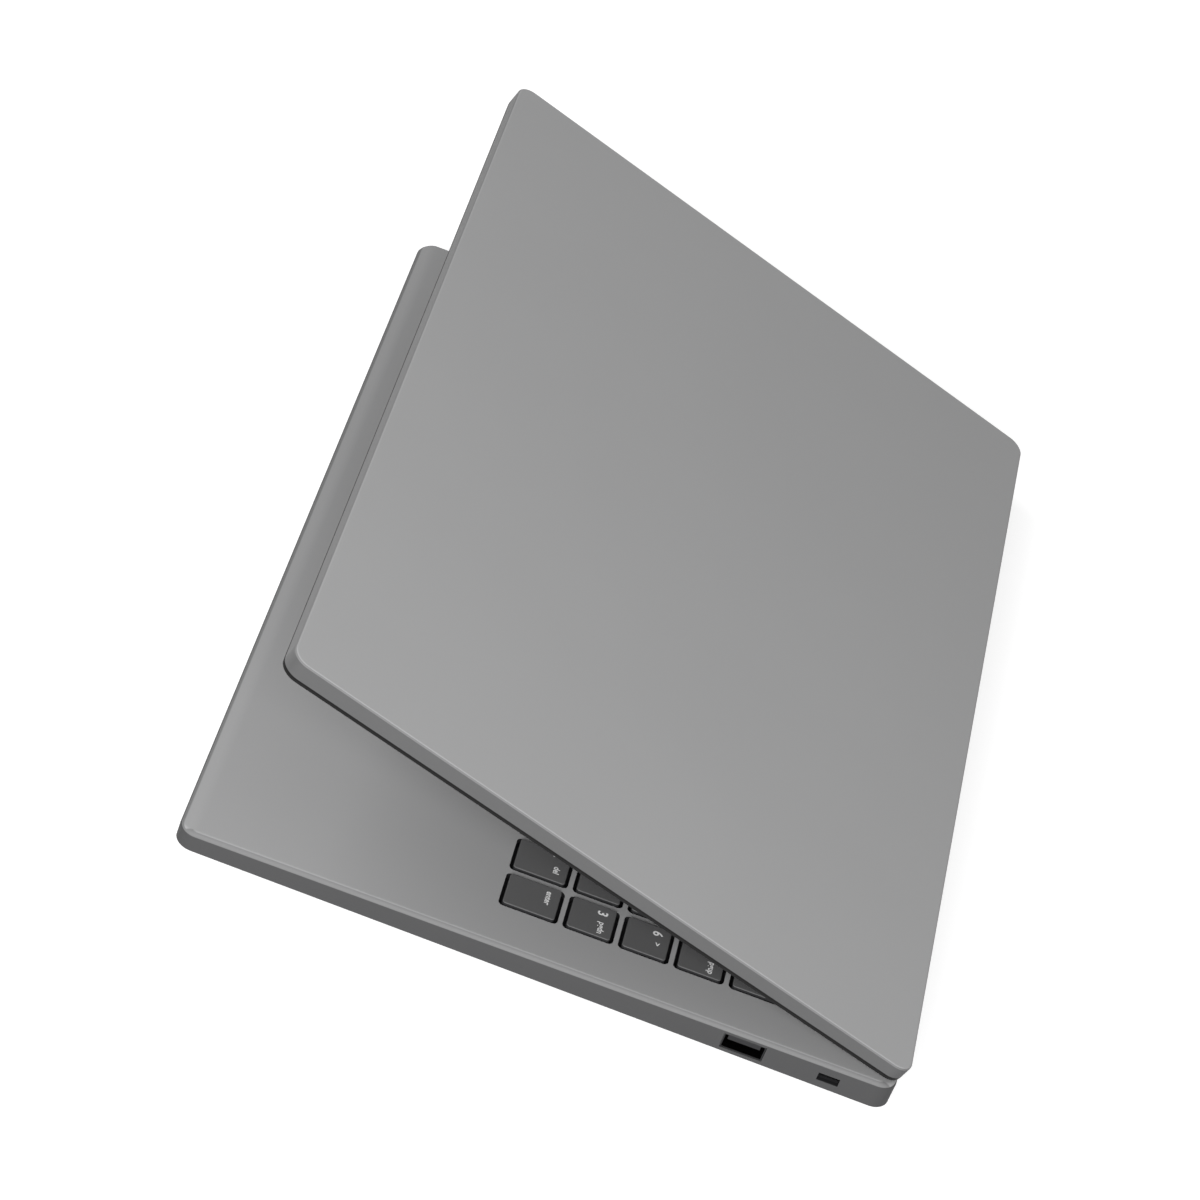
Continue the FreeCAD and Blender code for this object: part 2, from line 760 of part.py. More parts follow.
def hinge_screw_places(side):
    """Give the places of the two screws in each hinge plate and lid arm."""
    base_y = f"{HINGE_Y} - {NOTCH} - shell_wall - hinge_plate_depth/2"
    lid_y = f"{HINGE_Y} - hinge_arm_length*2/3"
    sign = "" if side > 0 else "-"
    base = [(f"{sign}({RING_END} - hinge_plate_length*{share})", base_y) for share in (0.25, 0.75)]
    lid = [(f"{sign}({SLEEVE_START} + hinge_sleeve_length*{share})", lid_y) for share in (0.25, 0.75)]
    return base, lid


def port_opening(name, side, middle, width, low, height):
    """Make the shape that cuts a socket's mouth through a side wall."""
    x = on_side((f"{SIDE} - shell_wall - {OVERSHOOT}", f"{SIDE} + {OVERSHOOT}"), side)
    y = about(middle, f"{width} + 2*port_clearance")
    return box(name, x, y, (f"{low} - port_clearance", f"{low} + {height} + port_clearance"))


def round_port_opening(name, middle, radius, body):
    """Make the shape that cuts a round socket's mouth through the left wall."""
    along = (f"-{SIDE} - {OVERSHOOT}", f"-{SIDE} + shell_wall + {OVERSHOOT}")
    mouth = f"{radius} + port_collar + port_clearance"
    return rod(name, "X", mouth, along, (middle, f"{PORT_BASE} + {body}/2"))


def top_case_openings():
    """Make the shapes that cut the hinge notches, sockets, vents and screw holes in the top case."""
    tools = []
    for side, word in SIDES:
        notch = box(
            f"hinge_notch_{word}",
            on_side((HINGE_X, NOTCH_END), side),
            (f"{HINGE_Y} - {NOTCH}", f"{REAR} + {OVERSHOOT}"),
            (f"{HINGE_Z} - {NOTCH}", f"{DECK} + {OVERSHOOT}"),
        )
        slot = box(
            f"hinge_slot_{word}",
            on_side((f"{RING_START} - hinge_play/2", f"{RING_END} + hinge_play/2"), side),
            (f"{HINGE_Y} - {NOTCH} - shell_wall - {OVERSHOOT}", f"{HINGE_Y} - {NOTCH} + {OVERSHOOT}"),
            (f"{HINGE_PLATE_UNDER} - hinge_play/2", DECK_UNDER),
        )
        tools.append(fuse(f"hinge_cut_{word}", [notch, slot]))
        for place, at in enumerate(hinge_screw_places(side)[0]):
            depth = (f"{DECK_UNDER} - {OVERSHOOT}", f"{DECK_UNDER} + hinge_screw_grip")
            name = f"hinge_thread_{word}_{place}"
            tools.append(rod(name, "Z", "hinge_screw_radius + screw_clearance", depth, at))
    for place, at in enumerate(screw_places()):
        depth = (f"{FLOOR} - {OVERSHOOT}", f"{FLOOR} + screw_grip + {OVERSHOOT}")
        tools.append(rod(f"case_thread_{place}", "Z", "screw_radius + screw_clearance", depth, at))
    for side, word, middle in ((1, "right", TYPE_A_RIGHT_Y), (-1, "left", TYPE_A_LEFT_Y)):
        mouth = port_opening(f"type_a_{word}_mouth", side, middle, "type_a_width", PORT_BASE, "type_a_height")
        tools.append(mouth)
    tools.append(port_opening("video_mouth", -1, VIDEO_Y, "video_width", PORT_BASE, "video_height"))
    tools.append(port_opening("type_c_mouth", -1, TYPE_C_Y, "type_c_width", PORT_BASE, "type_c_height"))
    tools.append(round_port_opening("audio_mouth", AUDIO_Y, "audio_radius", "audio_body"))
    tools.append(round_port_opening("power_mouth", POWER_Y, "power_radius", "power_body"))
    tools.append(lock_slot("lock_mouth"))
    for place in range(VENTS):
        x = about(f"fan_x + {place - (VENTS - 1) / 2}*vent_pitch", "vent_width")
        y = (f"{REAR} - shell_wall - {OVERSHOOT}", f"{REAR} + {OVERSHOOT}")
        low = f"{DECK} - wall_rear + vent_from_seam"
        tools.append(box(f"rear_vent_{place}", x, y, (low, f"{low} + vent_height")))
    return group("top_case_openings", tools)


def lock_slot(name):
    """Make the shape of the security lock's slot through the right wall."""
    x = (f"{SIDE} - shell_wall - lock_plate_thickness - {OVERSHOOT}", f"{SIDE} + {OVERSHOOT}")
    return box(name, x, about(LOCK_Y, "lock_width"), about(f"{DECK} - lock_drop", "lock_height"))


def build_top_case():
    """Make the top case: its shell with hinge towers and screw bosses, less every opening."""
    pieces = [build_top_case_shell()]
    for side, word in SIDES:
        x = on_side((f"{HINGE_X} - shell_wall", f"{NOTCH_END} + shell_wall"), side)
        y = (f"{HINGE_Y} - {NOTCH} - shell_wall", f"{REAR} - shell_wall/2")
        z = (f"{HINGE_Z} - {NOTCH} - shell_wall", f"{DECK_UNDER} + deck_thickness/4")
        pieces.append(box(f"hinge_tower_{word}", x, y, z))
    for place, at in enumerate(screw_places()):
        length = (FLOOR, f"{DECK} - deck_thickness/2")
        pieces.append(rod(f"case_boss_{place}", "Z", "screw_boss_radius", length, at))
    whole = fuse("top_case_whole", pieces)
    with_wells = cut("top_case_wells", whole, key_wells())
    return cut("top_case", with_wells, top_case_openings())


def parting_sketch(body, name, lift, inset):
    """Draw the base's outline on the sloping plane where its two shells meet."""
    sketch = sketch_on(body, name, "XY_Plane", f"{DECK} - (wall_front + wall_rear)/2 + {lift}")
    bind(sketch, AttachmentOffset_Rotation_Axis_x=1)
    bind(sketch, AttachmentOffset_Rotation_Axis_y=0)
    bind(sketch, AttachmentOffset_Rotation_Axis_z=0)
    bind(sketch, AttachmentOffset_Rotation_Angle="-atan((wall_rear - wall_front)/base_depth)")
    rounded_rectangle(
        sketch, f"base_width - 2*({inset})", f"base_depth - 2*({inset})", f"corner_radius - ({inset})"
    )
    return sketch


def build_pan():
    """Make the bottom cover's pan, which narrows from the parting plane to its flat floor."""
    body = doc.addObject("PartDesign::Body", "bottom_pan")
    for kind, level, lift, wall in (
        ("Additive", "foot_height", 0, "0"),
        ("Subtractive", FLOOR, OVERSHOOT, "shell_wall"),
    ):
        low = sketch_on(body, f"pan_{kind}_floor", "XY_Plane", level)
        inset = f"pan_inset + {wall}"
        floor = (f"base_width - 2*({inset})", f"base_depth - 2*({inset})")
        rounded_rectangle(low, *floor, f"pan_corner - {wall}")
        high = parting_sketch(body, f"pan_{kind}_rim", lift, f"seam_step + {wall}")
        loft = body.newObject(f"PartDesign::{kind}Loft", f"pan_{kind}_loft")
        loft.Profile = low
        loft.Sections = [high]
        loft.Ruled = True
        doc.recompute()
    return body


def board_ranges():
    """Give the X ranges of the two boards, either side of the fan."""
    main = (f"board_edge_gap - {SIDE}", "fan_x - fan_width/2 - board_fan_gap")
    side = ("fan_x + fan_width/2 + board_fan_gap", f"{SIDE} - board_edge_gap")
    return main, side


def board_boss_places():
    """Give the places of the bosses that carry the boards."""
    places = []
    for low, high in board_ranges():
        for x in (f"{low} + board_boss_inset", f"({low} + {high})/2", f"{high} - board_boss_inset"):
            for y in (f"{BOARD_FRONT} + board_boss_inset", f"{BOARD_REAR} - board_boss_inset"):
                places.append((x, y))
    return places


def speaker_range(side):
    """Give the X range of a speaker."""
    return on_side((f"{SIDE} - speaker_from_side - speaker_width", f"{SIDE} - speaker_from_side"), side)


SPEAKER_FRONT = f"(speaker_from_front - {REAR})"


def build_bottom_cover():
    """Make the bottom cover: its pan with board bosses, air slots, speaker slots and screw holes."""
    pieces = [build_pan()]
    for place, at in enumerate(board_boss_places()):
        length = (f"{FLOOR} - shell_wall/2", BOARD_UNDER)
        pieces.append(rod(f"board_boss_{place}", "Z", "board_boss_radius", length, at))
    through = (f"foot_height - {OVERSHOOT}", f"{FLOOR} + {OVERSHOOT}")
    tools = []
    for place in range(INTAKE_SLOTS):
        x = about(f"fan_x + {place - (INTAKE_SLOTS - 1) / 2}*slot_pitch", "slot_width")
        tools.append(box(f"intake_{place}", x, about(FAN_Y, "intake_length"), through))
    for side, word in SIDES:
        low, high = speaker_range(side)
        for place in range(SPEAKER_SLOTS):
            middle = f"{SPEAKER_FRONT} + speaker_depth/2 + {place - (SPEAKER_SLOTS - 1) / 2}*slot_pitch"
            x = about(f"({low} + {high})/2", "speaker_slot_length")
            tools.append(box(f"speaker_slot_{word}_{place}", x, about(middle, "slot_width"), through))
    head = "screw_head_sink + screw_head_height"
    for place, at in enumerate(screw_places()):
        hole = rod(f"cover_hole_{place}", "Z", "screw_radius + screw_clearance", through, at)
        sink_depth = (f"foot_height - {OVERSHOOT}", f"foot_height + {head}")
        sink = rod(f"cover_sink_{place}", "Z", "screw_head_radius + screw_clearance", sink_depth, at)
        tools.append(fuse(f"cover_screw_{place}", [hole, sink]))
    whole = fuse("bottom_cover_whole", pieces)
    return cut("bottom_cover", whole, group("bottom_cover_openings", tools))


def build_bottom_screws():
    """Make the screws that hold the bottom cover to the top case."""
    screws = []
    for place, at in enumerate(screw_places()):
        seat = "foot_height + screw_head_sink + screw_head_height"
        head_depth = ("foot_height + screw_head_sink", seat)
        head = rod(f"screw_head_{place}", "Z", "screw_head_radius", head_depth, at)
        shank = rod(f"screw_shank_{place}", "Z", "screw_radius", (seat, f"{FLOOR} + screw_grip"), at)
        screws.append(fuse(f"screw_{place}", [head, shank]))
    return group("bottom_screws", screws)


def build_feet():
    """Make the four rubber feet."""
    feet = []
    for across in ("", "-"):
        for along in ("", "-"):
            body = doc.addObject("PartDesign::Body", "foot")
            outline = sketch_on(body, "foot_outline", "XY_Plane")
            x = f"{across}({SIDE} - foot_from_side - foot_length/2)"
            y = f"{along}({REAR} - foot_from_end - foot_width/2)"
            rounded_rectangle(outline, "foot_length", "foot_width", "foot_corner", y, x)
            pad(body, outline, "foot_height")
            feet.append(body)
    return group("rubber_feet", feet)


def build_keyboard_plate():
    """Make the steel plate under the keys, seated on the rib about them."""
    x, y = keyboard_rib("rib_margin + rib_wall")
    return box("keyboard_plate", x, y, (f"{TRAY} - plate_thickness", TRAY))


def pivot_ear(name, side, inner, width, low, high):
    """Make an ear about the touchpad's pivot, on either side of the touchpad's middle."""
    edge = f"touchpad_width/2 - {inner}"
    near, far = on_side((edge, f"{edge} + {width}"), side)
    x = (f"touchpad_offset + ({near})", f"touchpad_offset + ({far})")
    return box(name, x, about(PIVOT_Y, "2*(pivot_radius + pivot_ear_wall)"), (low, high))


def build_touchpad():
    """Make the touchpad with its two pivot pins at the rear edge."""
    x, y = touchpad_outline("0")
    pieces = [box("touchpad_plate", x, y, (TOUCHPAD_UNDER, TOUCHPAD_TOP))]
    for side, word in SIDES:
        low = f"{PIVOT_Z} - pivot_radius - pivot_ear_wall/2"
        high = f"{TOUCHPAD_UNDER} + pivot_radius"
        inner = "pivot_from_side"
        pieces.append(pivot_ear(f"pad_ear_{word}", side, inner, "pivot_ear_width", low, high))
        edge = f"touchpad_width/2 - {inner}"
        near, far = on_side((edge, f"{edge} + 2*pivot_ear_width + pivot_side_gap"), side)
        along = (f"touchpad_offset + ({near})", f"touchpad_offset + ({far})")
        pieces.append(rod(f"pad_pin_{word}", "X", "pivot_radius", along, (PIVOT_Y, PIVOT_Z)))
    return fuse("touchpad", pieces)


def build_touchpad_bracket():
    """Make the touchpad's steel bracket with the two ears that hold its pivot pins."""
    x, y = touchpad_outline("rib_margin + rib_wall")
    pieces = [box("bracket_plate", x, y, (f"{TRAY} - plate_thickness", TRAY))]
    bores = []
    for side, word in SIDES:
        inner = "(pivot_from_side - pivot_ear_width - pivot_side_gap)"
        low, high = f"{TRAY} - plate_thickness/2", f"{PIVOT_Z} + pivot_radius + pivot_ear_wall"
        pieces.append(pivot_ear(f"bracket_ear_{word}", side, inner, "pivot_ear_width", low, high))
        edge = f"touchpad_width/2 - {inner}"
        near, far = on_side((f"{edge} - {OVERSHOOT}", f"{edge} + pivot_ear_width + {OVERSHOOT}"), side)
        along = (f"touchpad_offset + ({near})", f"touchpad_offset + ({far})")
        bore = rod(f"bracket_bore_{word}", "X", "pivot_radius + pivot_clearance", along, (PIVOT_Y, PIVOT_Z))
        bores.append(bore)
    whole = fuse("touchpad_bracket_whole", pieces)
    return cut("touchpad_bracket", whole, group("bracket_bores", bores))


def build_touchpad_switch():
    """Make the click switch on the bracket, under the touchpad's front edge."""
    x = about("touchpad_offset", "switch_width")
    y = (f"{TOUCHPAD_FRONT} + switch_from_edge", f"{TOUCHPAD_FRONT} + switch_from_edge + switch_depth")
    return box("touchpad_switch", x, y, (TRAY, f"{TOUCHPAD_UNDER} - click_gap"))


def build_hinge_base_bracket(side, word):
    """Make the hinge plate screwed under the deck, with the ring that its pin turns in."""
    ring_x = on_side((RING_START, RING_END), side)
    level = (HINGE_PLATE_UNDER, DECK_UNDER)
    plate_rear = f"{HINGE_Y} - {NOTCH} - shell_wall - hinge_play"
    plate = box(
        f"base_plate_{word}",
        on_side((f"{RING_END} - hinge_plate_length", RING_END), side),
        (f"{plate_rear} - hinge_plate_depth", plate_rear),
        level,
    )
    web_front, web_rear = about(HINGE_Y, "hinge_plate_thickness")
    tongue = box(f"base_tongue_{word}", ring_x, (f"{plate_rear} - hinge_play", web_rear), level)
    web = box(f"base_web_{word}", ring_x, (web_front, web_rear), (HINGE_PLATE_UNDER, HINGE_Z))
    ring = rod(f"base_ring_{word}", "X", "hinge_ear_radius", ring_x, (HINGE_Y, HINGE_Z))
    whole = fuse(f"base_bracket_whole_{word}", [plate, tongue, web, ring])
    beyond = on_side((f"{RING_START} - {OVERSHOOT}", f"{RING_END} + {OVERSHOOT}"), side)
    bore_radius = "hinge_pin_radius + hinge_pin_clearance"
    tools = [rod(f"base_bore_{word}", "X", bore_radius, beyond, (HINGE_Y, HINGE_Z))]
    for place, at in enumerate(hinge_screw_places(side)[0]):
        depth = (f"{HINGE_PLATE_UNDER} - {OVERSHOOT}", f"{DECK_UNDER} + {OVERSHOOT}")
        name = f"base_plate_hole_{word}_{place}"
        tools.append(rod(name, "Z", "hinge_screw_radius + screw_clearance", depth, at))
    return cut(f"hinge_base_bracket_{word}", whole, group(f"base_bracket_holes_{word}", tools))


def build_hinge_lid_bracket(side, word):
    """Make the hinge arm screwed inside the lid, with the ear that holds the pin."""
    ear_x = on_side((f"{SLEEVE_START} + hinge_play", f"{SLEEVE_END} - hinge_play"), side)
    neck_front = f"{HINGE_Y} - hinge_ear_radius - hinge_plate_thickness"
    neck_rear = f"{HINGE_Y} - hinge_ear_radius"
    web_level = about(HINGE_Z, "hinge_plate_thickness")
    arm = box(f"lid_arm_{word}", ear_x, (f"{HINGE_Y} - hinge_arm_length", neck_rear), (ARM_UNDER, ARM_TOP))
    neck = box(f"lid_neck_{word}", ear_x, (neck_front, neck_rear), (web_level[0], ARM_TOP))
    web = box(f"lid_web_{word}", ear_x, (neck_front, HINGE_Y), web_level)
    ear = rod(f"lid_ear_{word}", "X", "hinge_ear_radius", ear_x, (HINGE_Y, HINGE_Z))
    whole = fuse(f"lid_bracket_whole_{word}", [arm, neck, web, ear])
    beyond = on_side((SLEEVE_START, SLEEVE_END), side)
    tools = [rod(f"lid_bore_{word}", "X", "hinge_pin_radius", beyond, (HINGE_Y, HINGE_Z))]
    for place, at in enumerate(hinge_screw_places(side)[1]):
        depth = (f"{ARM_UNDER} - {OVERSHOOT}", f"{ARM_TOP} + {OVERSHOOT}")
        name = f"lid_arm_hole_{word}_{place}"
        tools.append(rod(name, "Z", "hinge_screw_radius + screw_clearance", depth, at))
    return on_lid(cut(f"hinge_lid_bracket_{word}", whole, group(f"lid_bracket_holes_{word}", tools)))


def build_hinge_pin(side, word):
    """Make the pin fixed in the lid's ear, which turns in the base's ring."""
    along = on_side((f"{SLEEVE_START} + hinge_play", RING_END), side)
    pin = rod(f"pin_rod_{word}", "X", "hinge_pin_radius", along, (HINGE_Y, HINGE_Z))
    return on_lid(group(f"hinge_pin_{word}", [pin]))


def build_hinge_sleeve(side, word):
    """Make the moulded sleeve that covers the lid's ear."""
    along = on_side((SLEEVE_START, SLEEVE_END), side)
    beyond = on_side((f"{SLEEVE_START} - {OVERSHOOT}", f"{SLEEVE_END} + {OVERSHOOT}"), side)
    outside = rod(f"sleeve_outside_{word}", "X", "hinge_sleeve_radius", along, (HINGE_Y, HINGE_Z))
    bore_radius = "hinge_sleeve_radius - hinge_sleeve_wall"
    bore = rod(f"sleeve_bore_{word}", "X", bore_radius, beyond, (HINGE_Y, HINGE_Z))
    slot = box(
        f"sleeve_slot_{word}",
        on_side((f"{SLEEVE_START} + hinge_play/2", f"{SLEEVE_END} - hinge_play/2"), side),
        (f"{HINGE_Y} - 2*hinge_sleeve_radius", f"{HINGE_Y} - hinge_ear_radius + hinge_play/2"),
        (f"{HINGE_Z} - hinge_plate_thickness/2 - hinge_play/2", f"{ARM_TOP} + hinge_play/2"),
    )
    hollow = fuse(f"sleeve_hollow_{word}", [bore, slot])
    return cut(f"hinge_sleeve_{word}", outside, hollow)


def hinge_screw(name, seat, tip, at):
    """Make one flat-headed hinge screw that points up."""
    head = rod(f"{name}_head", "Z", "hinge_screw_head", (f"{seat} - hinge_screw_head_height", seat), at)
    shank = rod(f"{name}_shank", "Z", "hinge_screw_radius", (seat, tip), at)
    return fuse(name, [head, shank])


def build_hinge_screws():
    """Make the screws of the hinge plates and of the lid arms."""
    base, lid = [], []
    for side, word in SIDES:
        base_places, lid_places = hinge_screw_places(side)
        for place, at in enumerate(base_places):
            tip = f"{DECK_UNDER} + hinge_screw_grip - screw_clearance"
            base.append(hinge_screw(f"base_screw_{word}_{place}", HINGE_PLATE_UNDER, tip, at))
        for place, at in enumerate(lid_places):
            tip = f"{ARM_TOP} + hinge_screw_grip - screw_clearance"
            lid.append(hinge_screw(f"lid_screw_{word}_{place}", ARM_UNDER, tip, at))
    return group("hinge_base_screws", base), on_lid(group("hinge_lid_screws", lid))


def build_lid_shell():
    """Make the lid's outer cover, a shallow tray that is a little thinner at the hinges."""
    body = doc.addObject("PartDesign::Body", "lid_shell")
    middle = f"({REAR} - lid_depth/2)"
    top = f"{LID_UNDER} + lid_thickness_front"
    outline = sketch_on(body, "lid_outline", "XY_Plane", LID_FACE)
    rounded_rectangle(outline, "base_width", "lid_depth", "corner_radius", middle)
    pad(body, outline, f"{top} - {LID_FACE}")
    taper = sketch_on(body, "lid_taper", "YZ_Plane")
    polygon(
        taper,
        [
            (LID_FRONT, top),
            (REAR, f"{LID_UNDER} + lid_thickness_rear"),
            (REAR, f"{top} + {OVERSHOOT}"),
            (LID_FRONT, f"{top} + {OVERSHOOT}"),
        ],
    )
    pocket(body, taper)
    rim = (size("base_width"), size("lid_depth"), size("corner_radius"))
    centre = size("base_depth") / 2 - size("lid_depth") / 2
    face = size("foot_height") + size("base_height") + size("lid_gap") + size("bezel_thickness")
    round_edges(
        body,
        "lid_rim",
        "lid_edge_round",
        lambda edge: edge.BoundBox.ZMin > face + 0.01 and on_outline(middle_of(edge), *rim, centre),
    )
    hollow = sketch_on(body, "lid_hollow", "XY_Plane", LID_FACE)
    rounded_rectangle(
        hollow, "base_width - 2*lid_wall", "lid_depth - 2*lid_wall", "corner_radius - lid_wall", middle
    )
    pocket(body, hollow, span(LID_FACE, LID_CEILING))
    return body


def lid_notch(name, side, low, high):
    """Make the shape that cuts room for a hinge in the lid's rear edge."""
    x = on_side((HINGE_X, NOTCH_END), side)
    y = (f"{HINGE_Y} - {NOTCH}", f"{REAR} + {OVERSHOOT}")
    return box(name, x, y, (low, high))


def build_lid_cover():
    """Make the lid's outer cover with its bosses for the hinge arms and its hinge notches."""
    pieces = [build_lid_shell()]
    tools = []
    for side, word in SIDES:
        top = f"{HINGE_Z} + hinge_sleeve_radius + camera_clearance"
        tools.append(lid_notch(f"cover_notch_{word}", side, f"{LID_FACE} - {OVERSHOOT}", top))
        for place, at in enumerate(hinge_screw_places(side)[1]):
            length = (ARM_TOP, f"{LID_CEILING} + lid_wall/2")
            pieces.append(rod(f"lid_boss_{word}_{place}", "Z", "hinge_screw_head", length, at))
            depth = (f"{ARM_TOP} - {OVERSHOOT}", f"{ARM_TOP} + hinge_screw_grip")
            name = f"lid_thread_{word}_{place}"
            tools.append(rod(name, "Z", "hinge_screw_radius + screw_clearance", depth, at))
    whole = fuse("lid_cover_whole", pieces)
    return on_lid(cut("lid_cover", whole, group("lid_cover_openings", tools)))


CAMERA_Y = f"({LID_FRONT} + lid_wall + camera_clearance + camera_depth/2)"


def build_display_bezel():
    """Make the black bezel that closes the lid's inner side about the display window."""
    body = doc.addObject("PartDesign::Body", "bezel_plate")
    outline = sketch_on(body, "bezel_outline", "XY_Plane", LID_UNDER)
    middle = f"({REAR} - lid_depth/2)"
    rounded_rectangle(
        outline,
        "base_width - 2*bezel_inset",
        "lid_depth - 2*bezel_inset",
        "corner_radius - bezel_inset",
        middle,
    )
    pad(body, outline, "bezel_thickness")
    inset = size("bezel_inset")
    rim = (size("base_width") - 2 * inset, size("lid_depth") - 2 * inset, size("corner_radius") - inset)
    centre = size("base_depth") / 2 - size("lid_depth") / 2
    under = size("foot_height") + size("base_height") + size("lid_gap")
    round_edges(
        body,
        "bezel_rim",
        "bezel_edge_round",
        lambda edge: edge.BoundBox.ZMax < under + 0.01 and on_outline(middle_of(edge), *rim, centre),
    )
    window = sketch_on(body, "display_window", "XY_Plane", f"{LID_UNDER} - {OVERSHOOT}")
    near = f"{LID_FRONT} + window_from_edge"
    rectangle(window, about("0", WINDOW_WIDTH), (near, f"{near} + {WINDOW_DEPTH}"))
    pocket(body, window, f"bezel_thickness + 2*{OVERSHOOT}")
    through = (f"{LID_UNDER} - {OVERSHOOT}", f"{LID_FACE} + {OVERSHOOT}")
    tools = [rod("camera_hole", "Z", "camera_radius + camera_clearance", through, ("0", CAMERA_Y))]
    for side, word in SIDES:
        tools.append(lid_notch(f"bezel_notch_{word}", side, *through))
    return on_lid(cut("display_bezel", body, group("bezel_openings", tools)))


PANEL_FRONT = f"({LID_FRONT} + window_from_edge - panel_margin)"
PANEL_REAR = f"({PANEL_FRONT} + {WINDOW_DEPTH} + 2*panel_margin)"


def build_display_panel():
    """Make the display panel, which lies on the bezel's inner face."""
    panel = box(
        "panel_block",
        about("0", f"{WINDOW_WIDTH} + 2*panel_margin"),
        (PANEL_FRONT, PANEL_REAR),
        (LID_FACE, f"{LID_FACE} + panel_thickness"),
    )
    return on_lid(group("display_panel", [panel]))


def build_camera():
    """Make the camera's board behind the bezel and its lens in the bezel's hole."""
    y = about(CAMERA_Y, "camera_depth")
    module = box("camera_block", about("0", "camera_width"), y, (LID_FACE, f"{LID_FACE} + camera_height"))
    lens_depth = (f"{LID_UNDER} + camera_clearance", LID_FACE)
    lens = rod("lens_disc", "Z", "camera_radius", lens_depth, ("0", CAMERA_Y))
    return on_lid(group("camera_module", [module])), on_lid(group("camera_lens", [lens]))


def build_bumpers():
    """Make the rubber bumpers that keep the shut lid off the deck."""
    bumpers = []
    level = (f"{DECK} + bumper_gap", LID_UNDER)
    for across in ("", "-"):
        for y in (CAMERA_Y, f"({REAR} - bumper_from_rear)"):
            at = (f"{across}({SIDE} - bumper_from_side)", y)
            bumpers.append(rod(f"bumper_{len(bumpers)}", "Z", "bumper_radius", level, at))
    return on_lid(group("lid_bumpers", bumpers))


def build_display_cables():
    """Make the display cable's stretch in the lid and its stretch in the base, at the left hinge."""
    lid = box(
        "lid_ribbon",
        about(f"-({SLEEVE_START} + hinge_sleeve_length/2)", "display_cable_width"),
        (PANEL_REAR, f"{HINGE_Y} - hinge_ear_radius"),
        (ARM_TOP, f"{ARM_TOP} + ribbon_thickness"),
    )
    x = about(f"-({RING_END} - hinge_plate_length/2)", "display_cable_width")
    rear = f"{HINGE_Y} - {NOTCH} - shell_wall - hinge_play"
    drop = f"({rear} - hinge_plate_depth - ribbon_thickness)"
    drop_rear = f"{drop} + ribbon_thickness"
    under = f"{HINGE_PLATE_UNDER} - ribbon_thickness"
    foot = (BOARD_TOP, f"{BOARD_TOP} + ribbon_thickness")
    runs = [
        box("ribbon_under_plate", x, (drop, rear), (under, HINGE_PLATE_UNDER)),
        box("ribbon_drop", x, (drop, drop_rear), (BOARD_TOP, HINGE_PLATE_UNDER)),
        box("ribbon_foot", x, (f"{drop} - ribbon_overlap", drop_rear), foot),
    ]
    return on_lid(group("display_cable_lid", [lid])), fuse("display_cable_base", runs)


def build_boards():
    """Make the mainboard and the side board, either side of the fan."""
    level = (BOARD_UNDER, BOARD_TOP)
    depth = (BOARD_FRONT, BOARD_REAR)
    main, side = board_ranges()
    return box("mainboard", main, depth, level), box("side_board", side, depth, level)


def build_chips():
    """Make the processor, the memory chips and the cold plate on the processor."""
    level = (BOARD_TOP, f"{BOARD_TOP} + chip_height")
    processor = box(
        "processor", about("processor_x", "processor_width"), about(PROCESSOR_Y, "processor_depth"), level
    )
    chips = []
    for place in range(MEMORY_CHIPS):
        x = about(f"processor_x - {place - (MEMORY_CHIPS - 1) / 2}*memory_chip_pitch", "memory_chip_width")
        y = about(f"{PROCESSOR_Y} - memory_from_processor", "memory_chip_depth")
        chips.append(box(f"memory_chip_{place}", x, y, level))
    plate = box(
        "cold_block",
        about("processor_x", "cold_plate_width"),
        about(PROCESSOR_Y, "cold_plate_depth"),
        (level[1], f"{PIPE_BOTTOM} + pipe_height"),
    )
    groove = box(
        "cold_groove",
        about("processor_x", f"cold_plate_width + 2*{OVERSHOOT}"),
        about(PROCESSOR_Y, "pipe_width + 2*pipe_clearance"),
        (f"{PIPE_BOTTOM} - pipe_clearance", f"{PIPE_BOTTOM} + pipe_height + {OVERSHOOT}"),
    )
    return processor, group("memory_chips", chips), cut("cold_plate", plate, groove)


def pipe_bend(name, centre, quarter):
    """Make a quarter turn of the heat pipe about a centre, from a quarter's start angle."""
    rings = []
    for word, radius in (("outer", "pipe_bend + pipe_width/2"), ("inner", "pipe_bend - pipe_width/2")):
        ring = doc.addObject("Part::Cylinder", f"{name}_{word}")
        ring.Angle = 90
        ring.Placement = Placement(Vector(), Rotation(Vector(0, 0, 1), 90 * quarter))
        bind(ring, Radius=radius, Height="pipe_height")
        bind(ring, Placement_Base_x=centre[0], Placement_Base_y=centre[1], Placement_Base_z=PIPE_BOTTOM)
        rings.append(ring)
    return cut(name, *rings)


